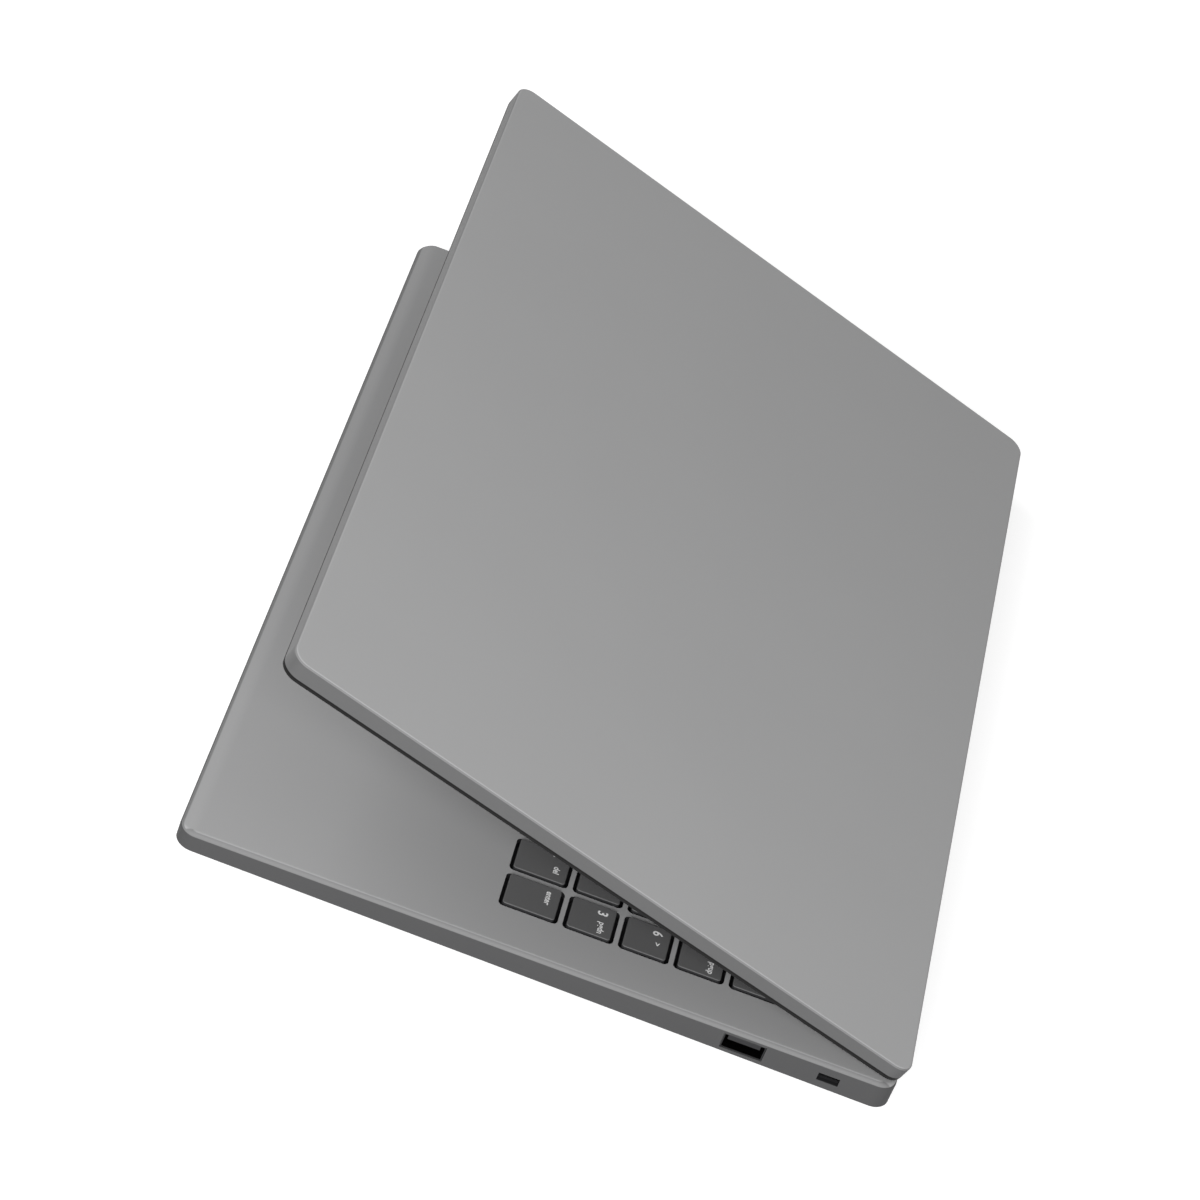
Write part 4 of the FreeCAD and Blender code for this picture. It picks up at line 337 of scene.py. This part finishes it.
class Paint:
    """Every finish of the laptop, each made once and handed out by name."""

    FINISHES = (
        Finish("grey_lid", LID_TONE, roughness=0.62, spread=0.05, relief=0.06, specular=0.12,
               shade_zones=(Zone(LID_FRONT_SHADE_TONE, LID_EDGE_LEVEL, LID_TOP_FACING, high=LID_FRONT),
                      Zone(EDGE_SHADE_TONE, LID_EDGE_LEVEL, LID_TOP_FACING, low=LID_SIDE, blend=LID_SIDE_BLEND),
                      Zone(LID_WALL_SHADE_TONE, LID_WALL_LEVEL, LID_TOP_FACING, low=LID_SIDE,
                           blend=LID_SIDE_BLEND),
                      Zone(SEAM_SHADE_TONE, LID_SEAM_LEVEL, LID_FACING))),
        Finish("grey_case", SHADED_CASE_TONE, roughness=0.62, spread=0.05, relief=0.06, specular=0.12,
               shade_zones=(Zone(EDGE_SHADE_TONE, DECK_EDGE_LEVEL, low=DECK_SIDE, blend=DECK_SIDE_BLEND),
                      Zone(EDGE_SHADE_TONE, DECK_LIP_LEVEL, high=DECK_LIP),
                      Zone(CASE_WALL_SHADE_TONE, CASE_WALL_LEVEL),
                      Zone(WELL_SHADE_TONE, KEY_WELL_LEVEL, low=KEY_WELLS[0], high=KEY_WELLS[1]),
                      Zone(WELL_SHADE_TONE, CASE_WALL_LEVEL, low=LOCK_SLOT[0], high=LOCK_SLOT[1]))),
        Finish("dark_pan", (0.15, 0.15, 0.155), roughness=0.6, spread=0.1, grain=1500.0, relief=0.2),
        Finish("key_cap", (0.1, 0.1, 0.101), roughness=0.6, spread=0.1, relief=0.1, specular=0.3,
               shade_zones=(Zone(WELL_SHADE_TONE, CAP_SKIRT_LEVEL),)),
        Finish("key_legend", (0.78, 0.78, 0.78), roughness=0.6, spread=0.04),
        Finish("soft_rubber", (0.025, 0.025, 0.026), roughness=0.85, spread=0.15, grain=900.0, relief=0.2),
        Finish("black_bezel", (0.006, 0.006, 0.006), roughness=0.6, spread=0.1, grain=1800.0, relief=0.15,
               specular=0.15),
        Finish("dark_screen", (0.010, 0.011, 0.013), roughness=0.22, spread=0.05, relief=0.02, coat=0.3),
        Finish("touch_film", (0.25, 0.25, 0.255), roughness=0.34, spread=0.04, relief=0.03),
        Finish("stamped_steel", (0.48, 0.48, 0.49), roughness=0.34, spread=0.1, metallic=1.0,
               grain=900.0, pattern=Pattern.BRUSHED),
        # painted shade: the sockets' steel shells are made near black, as the shade inside the openings
        Finish("shaded_socket_shell", (0.045, 0.045, 0.047), roughness=0.32, spread=0.06, metallic=1.0),
        Finish("solder_mask", (0.012, 0.075, 0.035), roughness=0.4, spread=0.25, grain=600.0),
        # black epoxy of the chips, also used as painted shade on the keyboard plate and the dome sheet
        Finish("chip_epoxy_and_key_shade", (0.022, 0.022, 0.024), roughness=0.6, spread=0.2, grain=1200.0, relief=0.2),
        Finish("copper_skin", (0.62, 0.30, 0.17), roughness=0.33, spread=0.12, metallic=1.0,
               grain=700.0, pattern=Pattern.BRUSHED),
        Finish("bare_fins", (0.66, 0.66, 0.67), roughness=0.35, spread=0.08, metallic=1.0),
        Finish("cable_film", (0.03, 0.03, 0.032), roughness=0.45, spread=0.1),
        Finish("gold_contact", (0.75, 0.52, 0.18), roughness=0.25, spread=0.06, metallic=1.0),
        # painted shade: near black for the lock plate behind its slot and for the screws' drive crosses
        Finish("painted_shade_black", (0.02, 0.02, 0.021), roughness=0.5, spread=0.12),
    )

    OF_SLOT = {
        "shell_grey": "grey_lid", "pan_grey": "dark_pan", "key_black": "key_cap",
        "rubber_black": "soft_rubber", "bezel_black": "black_bezel", "display_glass": "dark_screen",
        "touch_grey": "touch_film", "steel": "stamped_steel", "board_green": "solder_mask",
        "chip_black": "chip_epoxy_and_key_shade", "copper": "copper_skin", "fin_aluminium": "bare_fins",
        "cable": "cable_film",
    }

    OF_NODE = {
        # the sockets and the lock plate take near-black finishes as painted shade in their openings
        "type_a_socket_right": "shaded_socket_shell", "type_a_socket_left": "shaded_socket_shell",
        "video_socket": "shaded_socket_shell", "type_c_socket": "shaded_socket_shell", "lock_plate": "painted_shade_black",
        # the keyboard plate and the dome sheet take the black epoxy finish as painted shade seen between the
        # keys
        "top_case": "grey_case", "keyboard_plate": "chip_epoxy_and_key_shade", "key_dome_sheet": "chip_epoxy_and_key_shade",
    }

    def __init__(self) -> None:
        """Make the shared groups and each finish."""
        surface, zone_mask = SurfaceGroup(), ZoneGroup()
        self.made = {finish.name: finish.material(surface, zone_mask) for finish in self.FINISHES}

    def give(self, name: str) -> bpy.types.Material:
        """Hand out a finish's material by name."""
        return self.made[name]

    def dress_nodes(self) -> None:
        """Give every CAD node its own finish, or else that of its slot."""
        for entry in frame["record"]["subparts"]:
            node = frame["nodes"][entry["node"]]
            finish = self.give(self.OF_NODE.get(entry["node"]) or self.OF_SLOT[entry["material_slot"]])
            if not node.material_slots:
                node.data.materials.append(finish)
            for place in node.material_slots:
                place.material = finish
            log.info("dressed %s with %s", entry["node"], finish.name)


def finish_piece(mesh: bmesh.types.BMesh, name: str, body: str,
                 material: bpy.types.Material) -> None:
    """Turn a bmesh into a piece that rides on a body.

    Args:
        mesh: the shape, in the part's frame.
        name: the piece's name.
        body: the body that it moves with.
        material: the finish that it shows.
    """
    data = bpy.data.meshes.new(name)
    mesh.to_mesh(data)
    mesh.free()
    piece = bpy.data.objects.new(name, data)
    bpy.context.scene.collection.objects.link(piece)
    data.materials.append(material)
    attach(piece, body)
    log.info("built %s on %s", name, body)


@dataclass(frozen=True)
class Cap:
    """One key cap on the deck, with its row's node."""

    node: str
    left: float
    right: float
    front: float
    back: float


@dataclass
class Keyboard:
    """The keys' legends: flat marks a hair above the caps."""

    pitch: float = 18.65
    row_pitch: float = 18.35
    gap_across: float = 1.8
    gap_along: float = 1.6
    keypad_pitch: float = 17.7
    keypad_space: float = 2.5
    front_depth: float = 19.5
    function_depth: float = 11.9
    front_edge: float = -17.1
    margin_across: float = 0.7
    margin_along: float = 1.2
    cap_top: float = 16.3
    lift: float = 0.03
    large: float = 4.6
    small: float = 2.9
    bold: float = 0.02
    inset: float = 2.4
    second_column: float = 0.52
    main_units: float = MAIN_UNITS
    space_place: int = 4
    split_place: int = 8
    keypad_columns: int = 3
    low_cap_depth: float = 10.0
    low_cap_letter: float = 3.2
    low_cap_drop: float = 1.8
    drop: float = 2.6
    capital_share: float = 0.7
    curve_steps: int = 3
    rows: dict[str, tuple[float, ...]] = field(default_factory=lambda: {
        "front": (1.25, 1, 1, 1, 5, 1, 1.25, 1, 1, 1),
        "lower": (2.25, *(1,) * 10, 2.25),
        "home": (1.75, *(1,) * 11, 1.75),
        "upper": (1.5, *(1,) * 13),
        "number": (*(1,) * 13, 1.5),
        "function": (MAIN_UNITS / FUNCTION_KEYS,) * FUNCTION_KEYS,
    })
    legends: dict[str, tuple[str, ...]] = field(default_factory=lambda: {
        "front": ("ctrl", "fn", "", "alt", "", "alt", "ctrl", "<", "v", "^", ">", "0|ins", ".|del", "enter"),
        "lower": ("shift", *"ZXCVBNM", ",|<", ".|>", "/|?", "shift", "1|end", "2|v", "3|pgdn"),
        "home": ("caps", *"ASDFGHJKL", ";|:", "'|\"", "enter", "4|<", "5", "6|>"),
        "upper": ("tab", *"QWERTYUIOP", "[|{", "]|}", "\\", "7|home", "8|^", "9|pgup"),
        "number": ("`|~", "1|!", "2|@", "3|#", "4|$", "5|%", "6", "7|&", "8|*", "9|(", "0|)", "-|_", "=|+",
                   "back", "/", "*", "-"),
        "function": ("esc", *(f"f{count}" for count in range(1, 13)), "ins", "del", "home", "end", ""),
    })

    def caps(self, row: str, front: float, depth: float) -> Iterator[Cap]:
        """Give a row's caps from left to right.

        Args:
            row: the row's name.
            front: the row's front edge.
            depth: the row's depth.

        Returns:
            The caps, the split pair as two.
        """
        main_width = self.main_units * self.pitch + self.keypad_space
        left = -(main_width + self.keypad_columns * self.keypad_pitch - self.gap_across) / 2
        start = left
        for place, units in enumerate(self.rows[row]):
            end = start + units * self.pitch - self.gap_across
            node = "space_bar" if row == "front" and place == self.space_place else f"keys_{row}_row"
            if row == "front" and place == self.split_place:
                half = (depth - self.gap_along / 2) / 2
                yield Cap(node, start, end, front, front + half)
                yield Cap(node, start, end, front + depth - half, front + depth)
            else:
                yield Cap(node, start, end, front, front + depth)
            start += units * self.pitch
        for column in range(self.keypad_columns):
            start = left + main_width + column * self.keypad_pitch
            node = f"keypad_{row}_row"
            if row == "function":
                last = column == self.keypad_columns - 1
                node = "power_button" if last else "keys_function_row"
            yield Cap(node, start, start + self.keypad_pitch - self.gap_across, front, front + depth)

    def mark(self, words: str, height: float, spot: Vector) -> bpy.types.Mesh:
        """Set one mark as a flat mesh.

        Args:
            words: the mark's characters.
            height: the size of its letters, in millimetres.
            spot: its lower left corner, in millimetres.

        Returns:
            The mark's mesh, in metres and in place.
        """
        curve = bpy.data.curves.new("mark", "FONT")
        curve.body = words
        curve.size = height * MM
        curve.offset = self.bold * height * MM
        curve.resolution_u = self.curve_steps
        holder = bpy.data.objects.new("mark", curve)
        mesh = bpy.data.meshes.new_from_object(holder)
        mesh.transform(Matrix.Translation(spot * MM))
        bpy.data.objects.remove(holder)
        bpy.data.curves.remove(curve)
        return mesh

    def build(self, paint: Paint) -> None:
        """Build the legends of every row, one piece for each key node.

        Args:
            paint: the finishes.
        """
        sheets: dict[str, bmesh.types.BMesh] = {}
        front = self.front_edge
        for row in self.rows:
            depth = self.row_pitch - self.gap_along
            depth = {"front": self.front_depth, "function": self.function_depth}.get(row, depth)
            for cap, words in zip(self.caps(row, front, depth), self.legends[row]):
                self.place_marks(sheets, cap, words)
            front += depth + self.gap_along
        for node, sheet in sheets.items():
            finish_piece(sheet, f"legend_{node}", node, paint.give("key_legend"))

    def place_marks(self, sheets: dict[str, bmesh.types.BMesh], cap: Cap, words: str) -> None:
        """Set a cap's marks near its rear edge, the second to the right of the first.

        Args:
            sheets: the marks made so far, by node.
            cap: the cap that carries them.
            words: the marks, with a bar between the two.
        """
        if not words:
            return
        if cap.node not in sheets:
            sheets[cap.node] = bmesh.new()
        sheet = sheets[cap.node]
        left, right = cap.left + self.margin_across, cap.right - self.margin_across
        back = cap.back - self.margin_along
        low_cap = back - cap.front - self.margin_along < self.low_cap_depth
        gap = self.low_cap_drop if low_cap else self.drop
        for place, word in enumerate(words.split("|")):
            height = self.large if len(word) == 1 and place == 0 else self.small
            height = min(height, self.low_cap_letter) if low_cap else height
            across = left + self.inset if place == 0 else left + self.second_column * (right - left)
            base_line = back - gap - height * self.capital_share
            spot = Vector((across, base_line, self.cap_top + self.lift))
            mesh = self.mark(word, height, spot)
            sheet.from_mesh(mesh)
            bpy.data.meshes.remove(mesh)


@dataclass
class PowerMark:
    """The ring and bar on the power button."""

    inner: float = 1.55
    outer: float = 1.95
    opening: float = 80.0
    bar_width: float = 0.4
    bar_length: float = 1.7
    ring_steps: int = 28
    lift: float = 0.03

    def build(self, paint: Paint) -> None:
        """Spin the open ring, lay the bar in its gap and set both on the button.

        Args:
            paint: the finishes.
        """
        shape = bmesh.new()
        turn = Matrix.Rotation(math.radians(90.0 + self.opening / 2), 4, "Z")
        ends = [shape.verts.new(turn @ Vector((reach * MM, 0.0, 0.0))) for reach in (self.inner, self.outer)]
        rim = shape.edges.new(ends)
        bmesh.ops.spin(shape, geom=[*ends, rim], cent=(0.0, 0.0, 0.0), axis=(0.0, 0.0, 1.0),
                       dvec=(0.0, 0.0, 0.0), angle=math.radians(360.0 - self.opening),
                       steps=self.ring_steps, use_duplicate=False)
        half = Vector((self.bar_width / 2, self.bar_length / 2, 1.0)) * MM
        place = Matrix.Translation((0.0, self.outer * MM - half.y / 2, 0.0)) @ Matrix.Diagonal((*half, 1.0))
        bmesh.ops.create_grid(shape, x_segments=1, y_segments=2, size=1.0, matrix=place)
        shape.normal_update()
        bmesh.ops.reverse_faces(shape, faces=[face for face in shape.faces if face.normal.z < 0.0])
        low, high = (Vector(corner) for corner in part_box("power_button"))
        middle = Vector(((low.x + high.x) / 2, (low.y + high.y) / 2, high.z + self.lift * MM))
        bmesh.ops.translate(shape, verts=shape.verts, vec=middle)
        finish_piece(shape, "power_mark", "power_button", paint.give("key_legend"))


@dataclass
class ScrewDrives:
    """The cross drives in the heads of the bottom screws, seen from below, as thin near-black crosses of
    painted shade.
    """

    places: tuple[tuple[float, float], ...] = ((160.0, 97.5), (82.0, 97.5), (129.0, -97.5), (129.0, -26.4))
    head_face: float = 1.6
    reach: float = 1.35
    arm: float = 0.45
    depth: float = 0.04
    cells: int = 3
    rim_share: float = 0.9

    def cross(self, shape: bmesh.types.BMesh, across: float, along: float) -> None:
        """Make one cross from a grid without its corners, and give it its depth.

        Args:
            shape: the bmesh that it goes into.
            across: its place from left to right.
            along: its place from front to rear.
        """
        grid = bmesh.ops.create_grid(shape, x_segments=self.cells, y_segments=self.cells,
                                     size=self.reach * MM)["verts"]
        inner = self.arm / self.reach * self.cells
        for corner in grid:
            for axis in (0, 1):
                if abs(corner.co[axis]) < self.reach * MM * self.rim_share:
                    corner.co[axis] *= inner
        faces = {face for corner in grid for face in corner.link_faces}
        tips = [face for face in faces
                if min(abs(value) for value in face.calc_center_median().xy) > self.arm * MM]
        bmesh.ops.delete(shape, geom=tips, context="FACES")
        left = [face for face in faces if face.is_valid]
        sides = bmesh.ops.extrude_face_region(shape, geom=left)["geom"]
        raised = [part for part in sides if isinstance(part, bmesh.types.BMVert)]
        bmesh.ops.translate(shape, verts=raised, vec=(0.0, 0.0, self.depth * MM))
        spot = Vector((across, along, self.head_face - self.depth)) * MM
        corners = {corner for face in left for corner in face.verts} | set(raised)
        bmesh.ops.translate(shape, verts=list(corners), vec=spot)

    def build(self, paint: Paint) -> None:
        """Build the crosses of both sides as one piece.

        Args:
            paint: the finishes.
        """
        shape = bmesh.new()
        for side in (1.0, -1.0):
            for across, along in self.places:
                self.cross(shape, side * across, along)
        bmesh.ops.recalc_face_normals(shape, faces=shape.faces)
        # the crosses are near black, painted shade in the drive recesses
        finish_piece(shape, "screw_drives", "base", paint.give("painted_shade_black"))


@dataclass(frozen=True)
class ContactRow:
    """A row of contacts on one face of a socket's tongue."""

    node: str
    count: int
    pitch: float
    width: float
    length: float
    face: float
    upward: bool


@dataclass
class Contacts:
    """The plated contacts on the tongues of the flat sockets."""

    thickness: float = 0.08
    setback: float = 1.7
    edge: float = 0.03
    rows: tuple[ContactRow, ...] = (
        ContactRow("type_a_socket_right", 4, 2.3, 1.0, 6.5, 10.0, False),
        ContactRow("type_a_socket_left", 4, 2.3, 1.0, 6.5, 10.0, False),
        ContactRow("video_socket", 10, 1.0, 0.5, 5.0, 10.55, True),
        ContactRow("video_socket", 9, 1.0, 0.5, 5.0, 9.65, False),
        ContactRow("type_c_socket", 8, 0.7, 0.35, 4.0, 9.3, True),
        ContactRow("type_c_socket", 8, 0.7, 0.35, 4.0, 8.6, False),
    )

    def strip(self, shape: bmesh.types.BMesh, middle: Vector, size: Vector) -> None:
        """Make one contact with softened edges.

        Args:
            shape: the bmesh that it goes into.
            middle: its middle.
            size: its sizes along the three axes.
        """
        place = Matrix.Translation(middle * MM) @ Matrix.Diagonal((*(size * MM), 1.0))
        corners = bmesh.ops.create_cube(shape, size=1.0, matrix=place)["verts"]
        edges = list({edge for corner in corners for edge in corner.link_edges})
        bmesh.ops.bevel(shape, geom=edges, offset=self.edge * MM, offset_type="OFFSET", affect="EDGES",
                        segments=2, profile=0.5, material=-1)

    def build(self, paint: Paint) -> None:
        """Build each row of contacts, seated on its tongue.

        Args:
            paint: the finishes.
        """
        for row in self.rows:
            low, high = (Vector(corner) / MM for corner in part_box(row.node))
            outward = 1.0 if high.x > 0.0 else -1.0
            across = outward * (max(high.x, -low.x) - self.setback - row.length / 2)
            half = self.thickness / 2 if row.upward else -self.thickness / 2
            shape = bmesh.new()
            for place in range(row.count):
                along = (low.y + high.y) / 2 + (place - (row.count - 1) / 2) * row.pitch
                size = Vector((row.length, row.width, self.thickness))
                self.strip(shape, Vector((across, along, row.face + half)), size)
            name = f"contacts_{row.node}_{'upper' if row.upward else 'lower'}"
            finish_piece(shape, name, "base", paint.give("gold_contact"))


@dataclass(frozen=True)
class Lamp:
    """One soft square lamp: its name, place, width in metres and power in watts."""

    name: str
    spot: tuple[float, float, float]
    width: float
    power: float


@dataclass
class Studio:
    """The camera, the lamps, the floor and the white surroundings."""

    lens: float = 129.333
    sensor: float = 36.0
    eye: Vector = field(default_factory=lambda: Vector((1.1790777, -0.0731316, 0.8839529)))
    right: Vector = field(default_factory=lambda: Vector((-0.17438702, 0.93747192, 0.30122344)))
    down: Vector = field(default_factory=lambda: Vector((0.56586342, 0.34576367, -0.74849588)))
    ahead: Vector = field(default_factory=lambda: Vector((-0.80584599, 0.03992336, -0.59077776)))
    floor_size: float = 3.0
    floor_tone: float = 0.5
    floor_glow: float = 0.72
    floor_roughness: float = 0.9
    floor_specular: float = 0.1
    ambient: float = 0.30
    near_clip: float = 0.01
    aim: Vector = field(default_factory=lambda: Vector((0.0, 0.0, 0.05)))
    lamps: tuple[Lamp, ...] = (
        Lamp("side_lamp", (1.3, -0.12, 0.58), 0.95, 27.0),
        Lamp("front_lamp", (-0.3, -0.9, 1.0), 0.8, 7.0),
    )

    def camera(self) -> None:
        """Set the camera where the photograph was taken from."""
        data = bpy.data.cameras.new("camera")
        data.lens = self.lens
        data.sensor_width = self.sensor
        data.sensor_fit = "HORIZONTAL"
        data.clip_start = self.near_clip
        camera = bpy.data.objects.new("camera", data)
        turn = Matrix((self.right, -self.down, -self.ahead)).transposed().to_4x4()
        camera.matrix_world = Matrix.Translation(self.eye) @ turn
        bpy.context.scene.collection.objects.link(camera)
        bpy.context.scene.camera = camera

    def hang(self, lamp: Lamp) -> None:
        """Hang one lamp, turned to the aim.

        Args:
            lamp: the lamp to hang.
        """
        data = bpy.data.lights.new(lamp.name, "AREA")
        data.shape = "SQUARE"
        data.size = lamp.width
        data.energy = lamp.power
        holder = bpy.data.objects.new(lamp.name, data)
        holder.location = lamp.spot
        holder.rotation_euler = (self.aim - Vector(lamp.spot)).to_track_quat("-Z", "Y").to_euler()
        bpy.context.scene.collection.objects.link(holder)

    def white_to_camera(self, tree: bpy.types.NodeTree) -> bpy.types.NodeSocket:
        """Wire a mask of the rays that see the white surroundings.

        Args:
            tree: the node tree to wire it in.

        Returns:
            The mask's socket.
        """
        rays = tree.nodes.new("ShaderNodeLightPath")
        first = tree.nodes.new("ShaderNodeMath")
        first.operation = "MAXIMUM"
        tree.links.new(rays.outputs["Is Camera Ray"], first.inputs[0])
        tree.links.new(rays.outputs["Is Glossy Ray"], first.inputs[1])
        second = tree.nodes.new("ShaderNodeMath")
        second.operation = "MAXIMUM"
        tree.links.new(first.outputs["Value"], second.inputs[0])
        tree.links.new(rays.outputs["Is Transmission Ray"], second.inputs[1])
        return second.outputs["Value"]

    def surroundings(self) -> None:
        """Make the world: white to the camera, soft grey light to the rest."""
        world = bpy.data.worlds.new("surroundings")
        world.use_nodes = True
        bpy.context.scene.world = world
        tree = world.node_tree
        shader = tree.nodes["Background"]
        shader.inputs["Color"].default_value = (1.0, 1.0, 1.0, 1.0)
        level = tree.nodes.new("ShaderNodeMapRange")
        level.inputs["To Min"].default_value = self.ambient
        level.inputs["To Max"].default_value = 1.0
        tree.links.new(self.white_to_camera(tree), level.inputs["Value"])
        tree.links.new(level.outputs["Result"], shader.inputs["Strength"])

    def floor(self) -> None:
        """Lay the pale floor, which keeps the object's shadow."""
        shape = bmesh.new()
        bmesh.ops.create_grid(shape, x_segments=1, y_segments=1, size=self.floor_size)
        data = bpy.data.meshes.new("floor")
        shape.to_mesh(data)
        shape.free()
        floor = bpy.data.objects.new("floor", data)
        bpy.context.scene.collection.objects.link(floor)
        material = bpy.data.materials.new("pale_floor")
        material.use_nodes = True
        shader = material.node_tree.nodes["Principled BSDF"]
        shader.inputs["Base Color"].default_value = (*(self.floor_tone,) * 3, 1.0)
        shader.inputs["Roughness"].default_value = self.floor_roughness
        shader.inputs["Specular IOR Level"].default_value = self.floor_specular
        shader.inputs["Emission Color"].default_value = (1.0, 1.0, 1.0, 1.0)
        level = material.node_tree.nodes.new("ShaderNodeMath")
        level.operation = "MULTIPLY"
        level.inputs[1].default_value = self.floor_glow
        material.node_tree.links.new(self.white_to_camera(material.node_tree), level.inputs[0])
        material.node_tree.links.new(level.outputs["Value"], shader.inputs["Emission Strength"])
        data.materials.append(material)

    def build(self) -> None:
        """Set up the whole studio."""
        bpy.context.scene.view_settings.view_transform = "Standard"
        self.camera()
        self.surroundings()
        self.floor()
        for lamp in self.lamps:
            self.hang(lamp)


def main() -> None:
    """Dress the CAD nodes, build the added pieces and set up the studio."""
    paint = Paint()
    paint.dress_nodes()
    for assembly in (Keyboard(), PowerMark(), ScrewDrives(), Contacts()):
        assembly.build(paint)
    Studio().build()


if __name__ == "__main__":
    main()
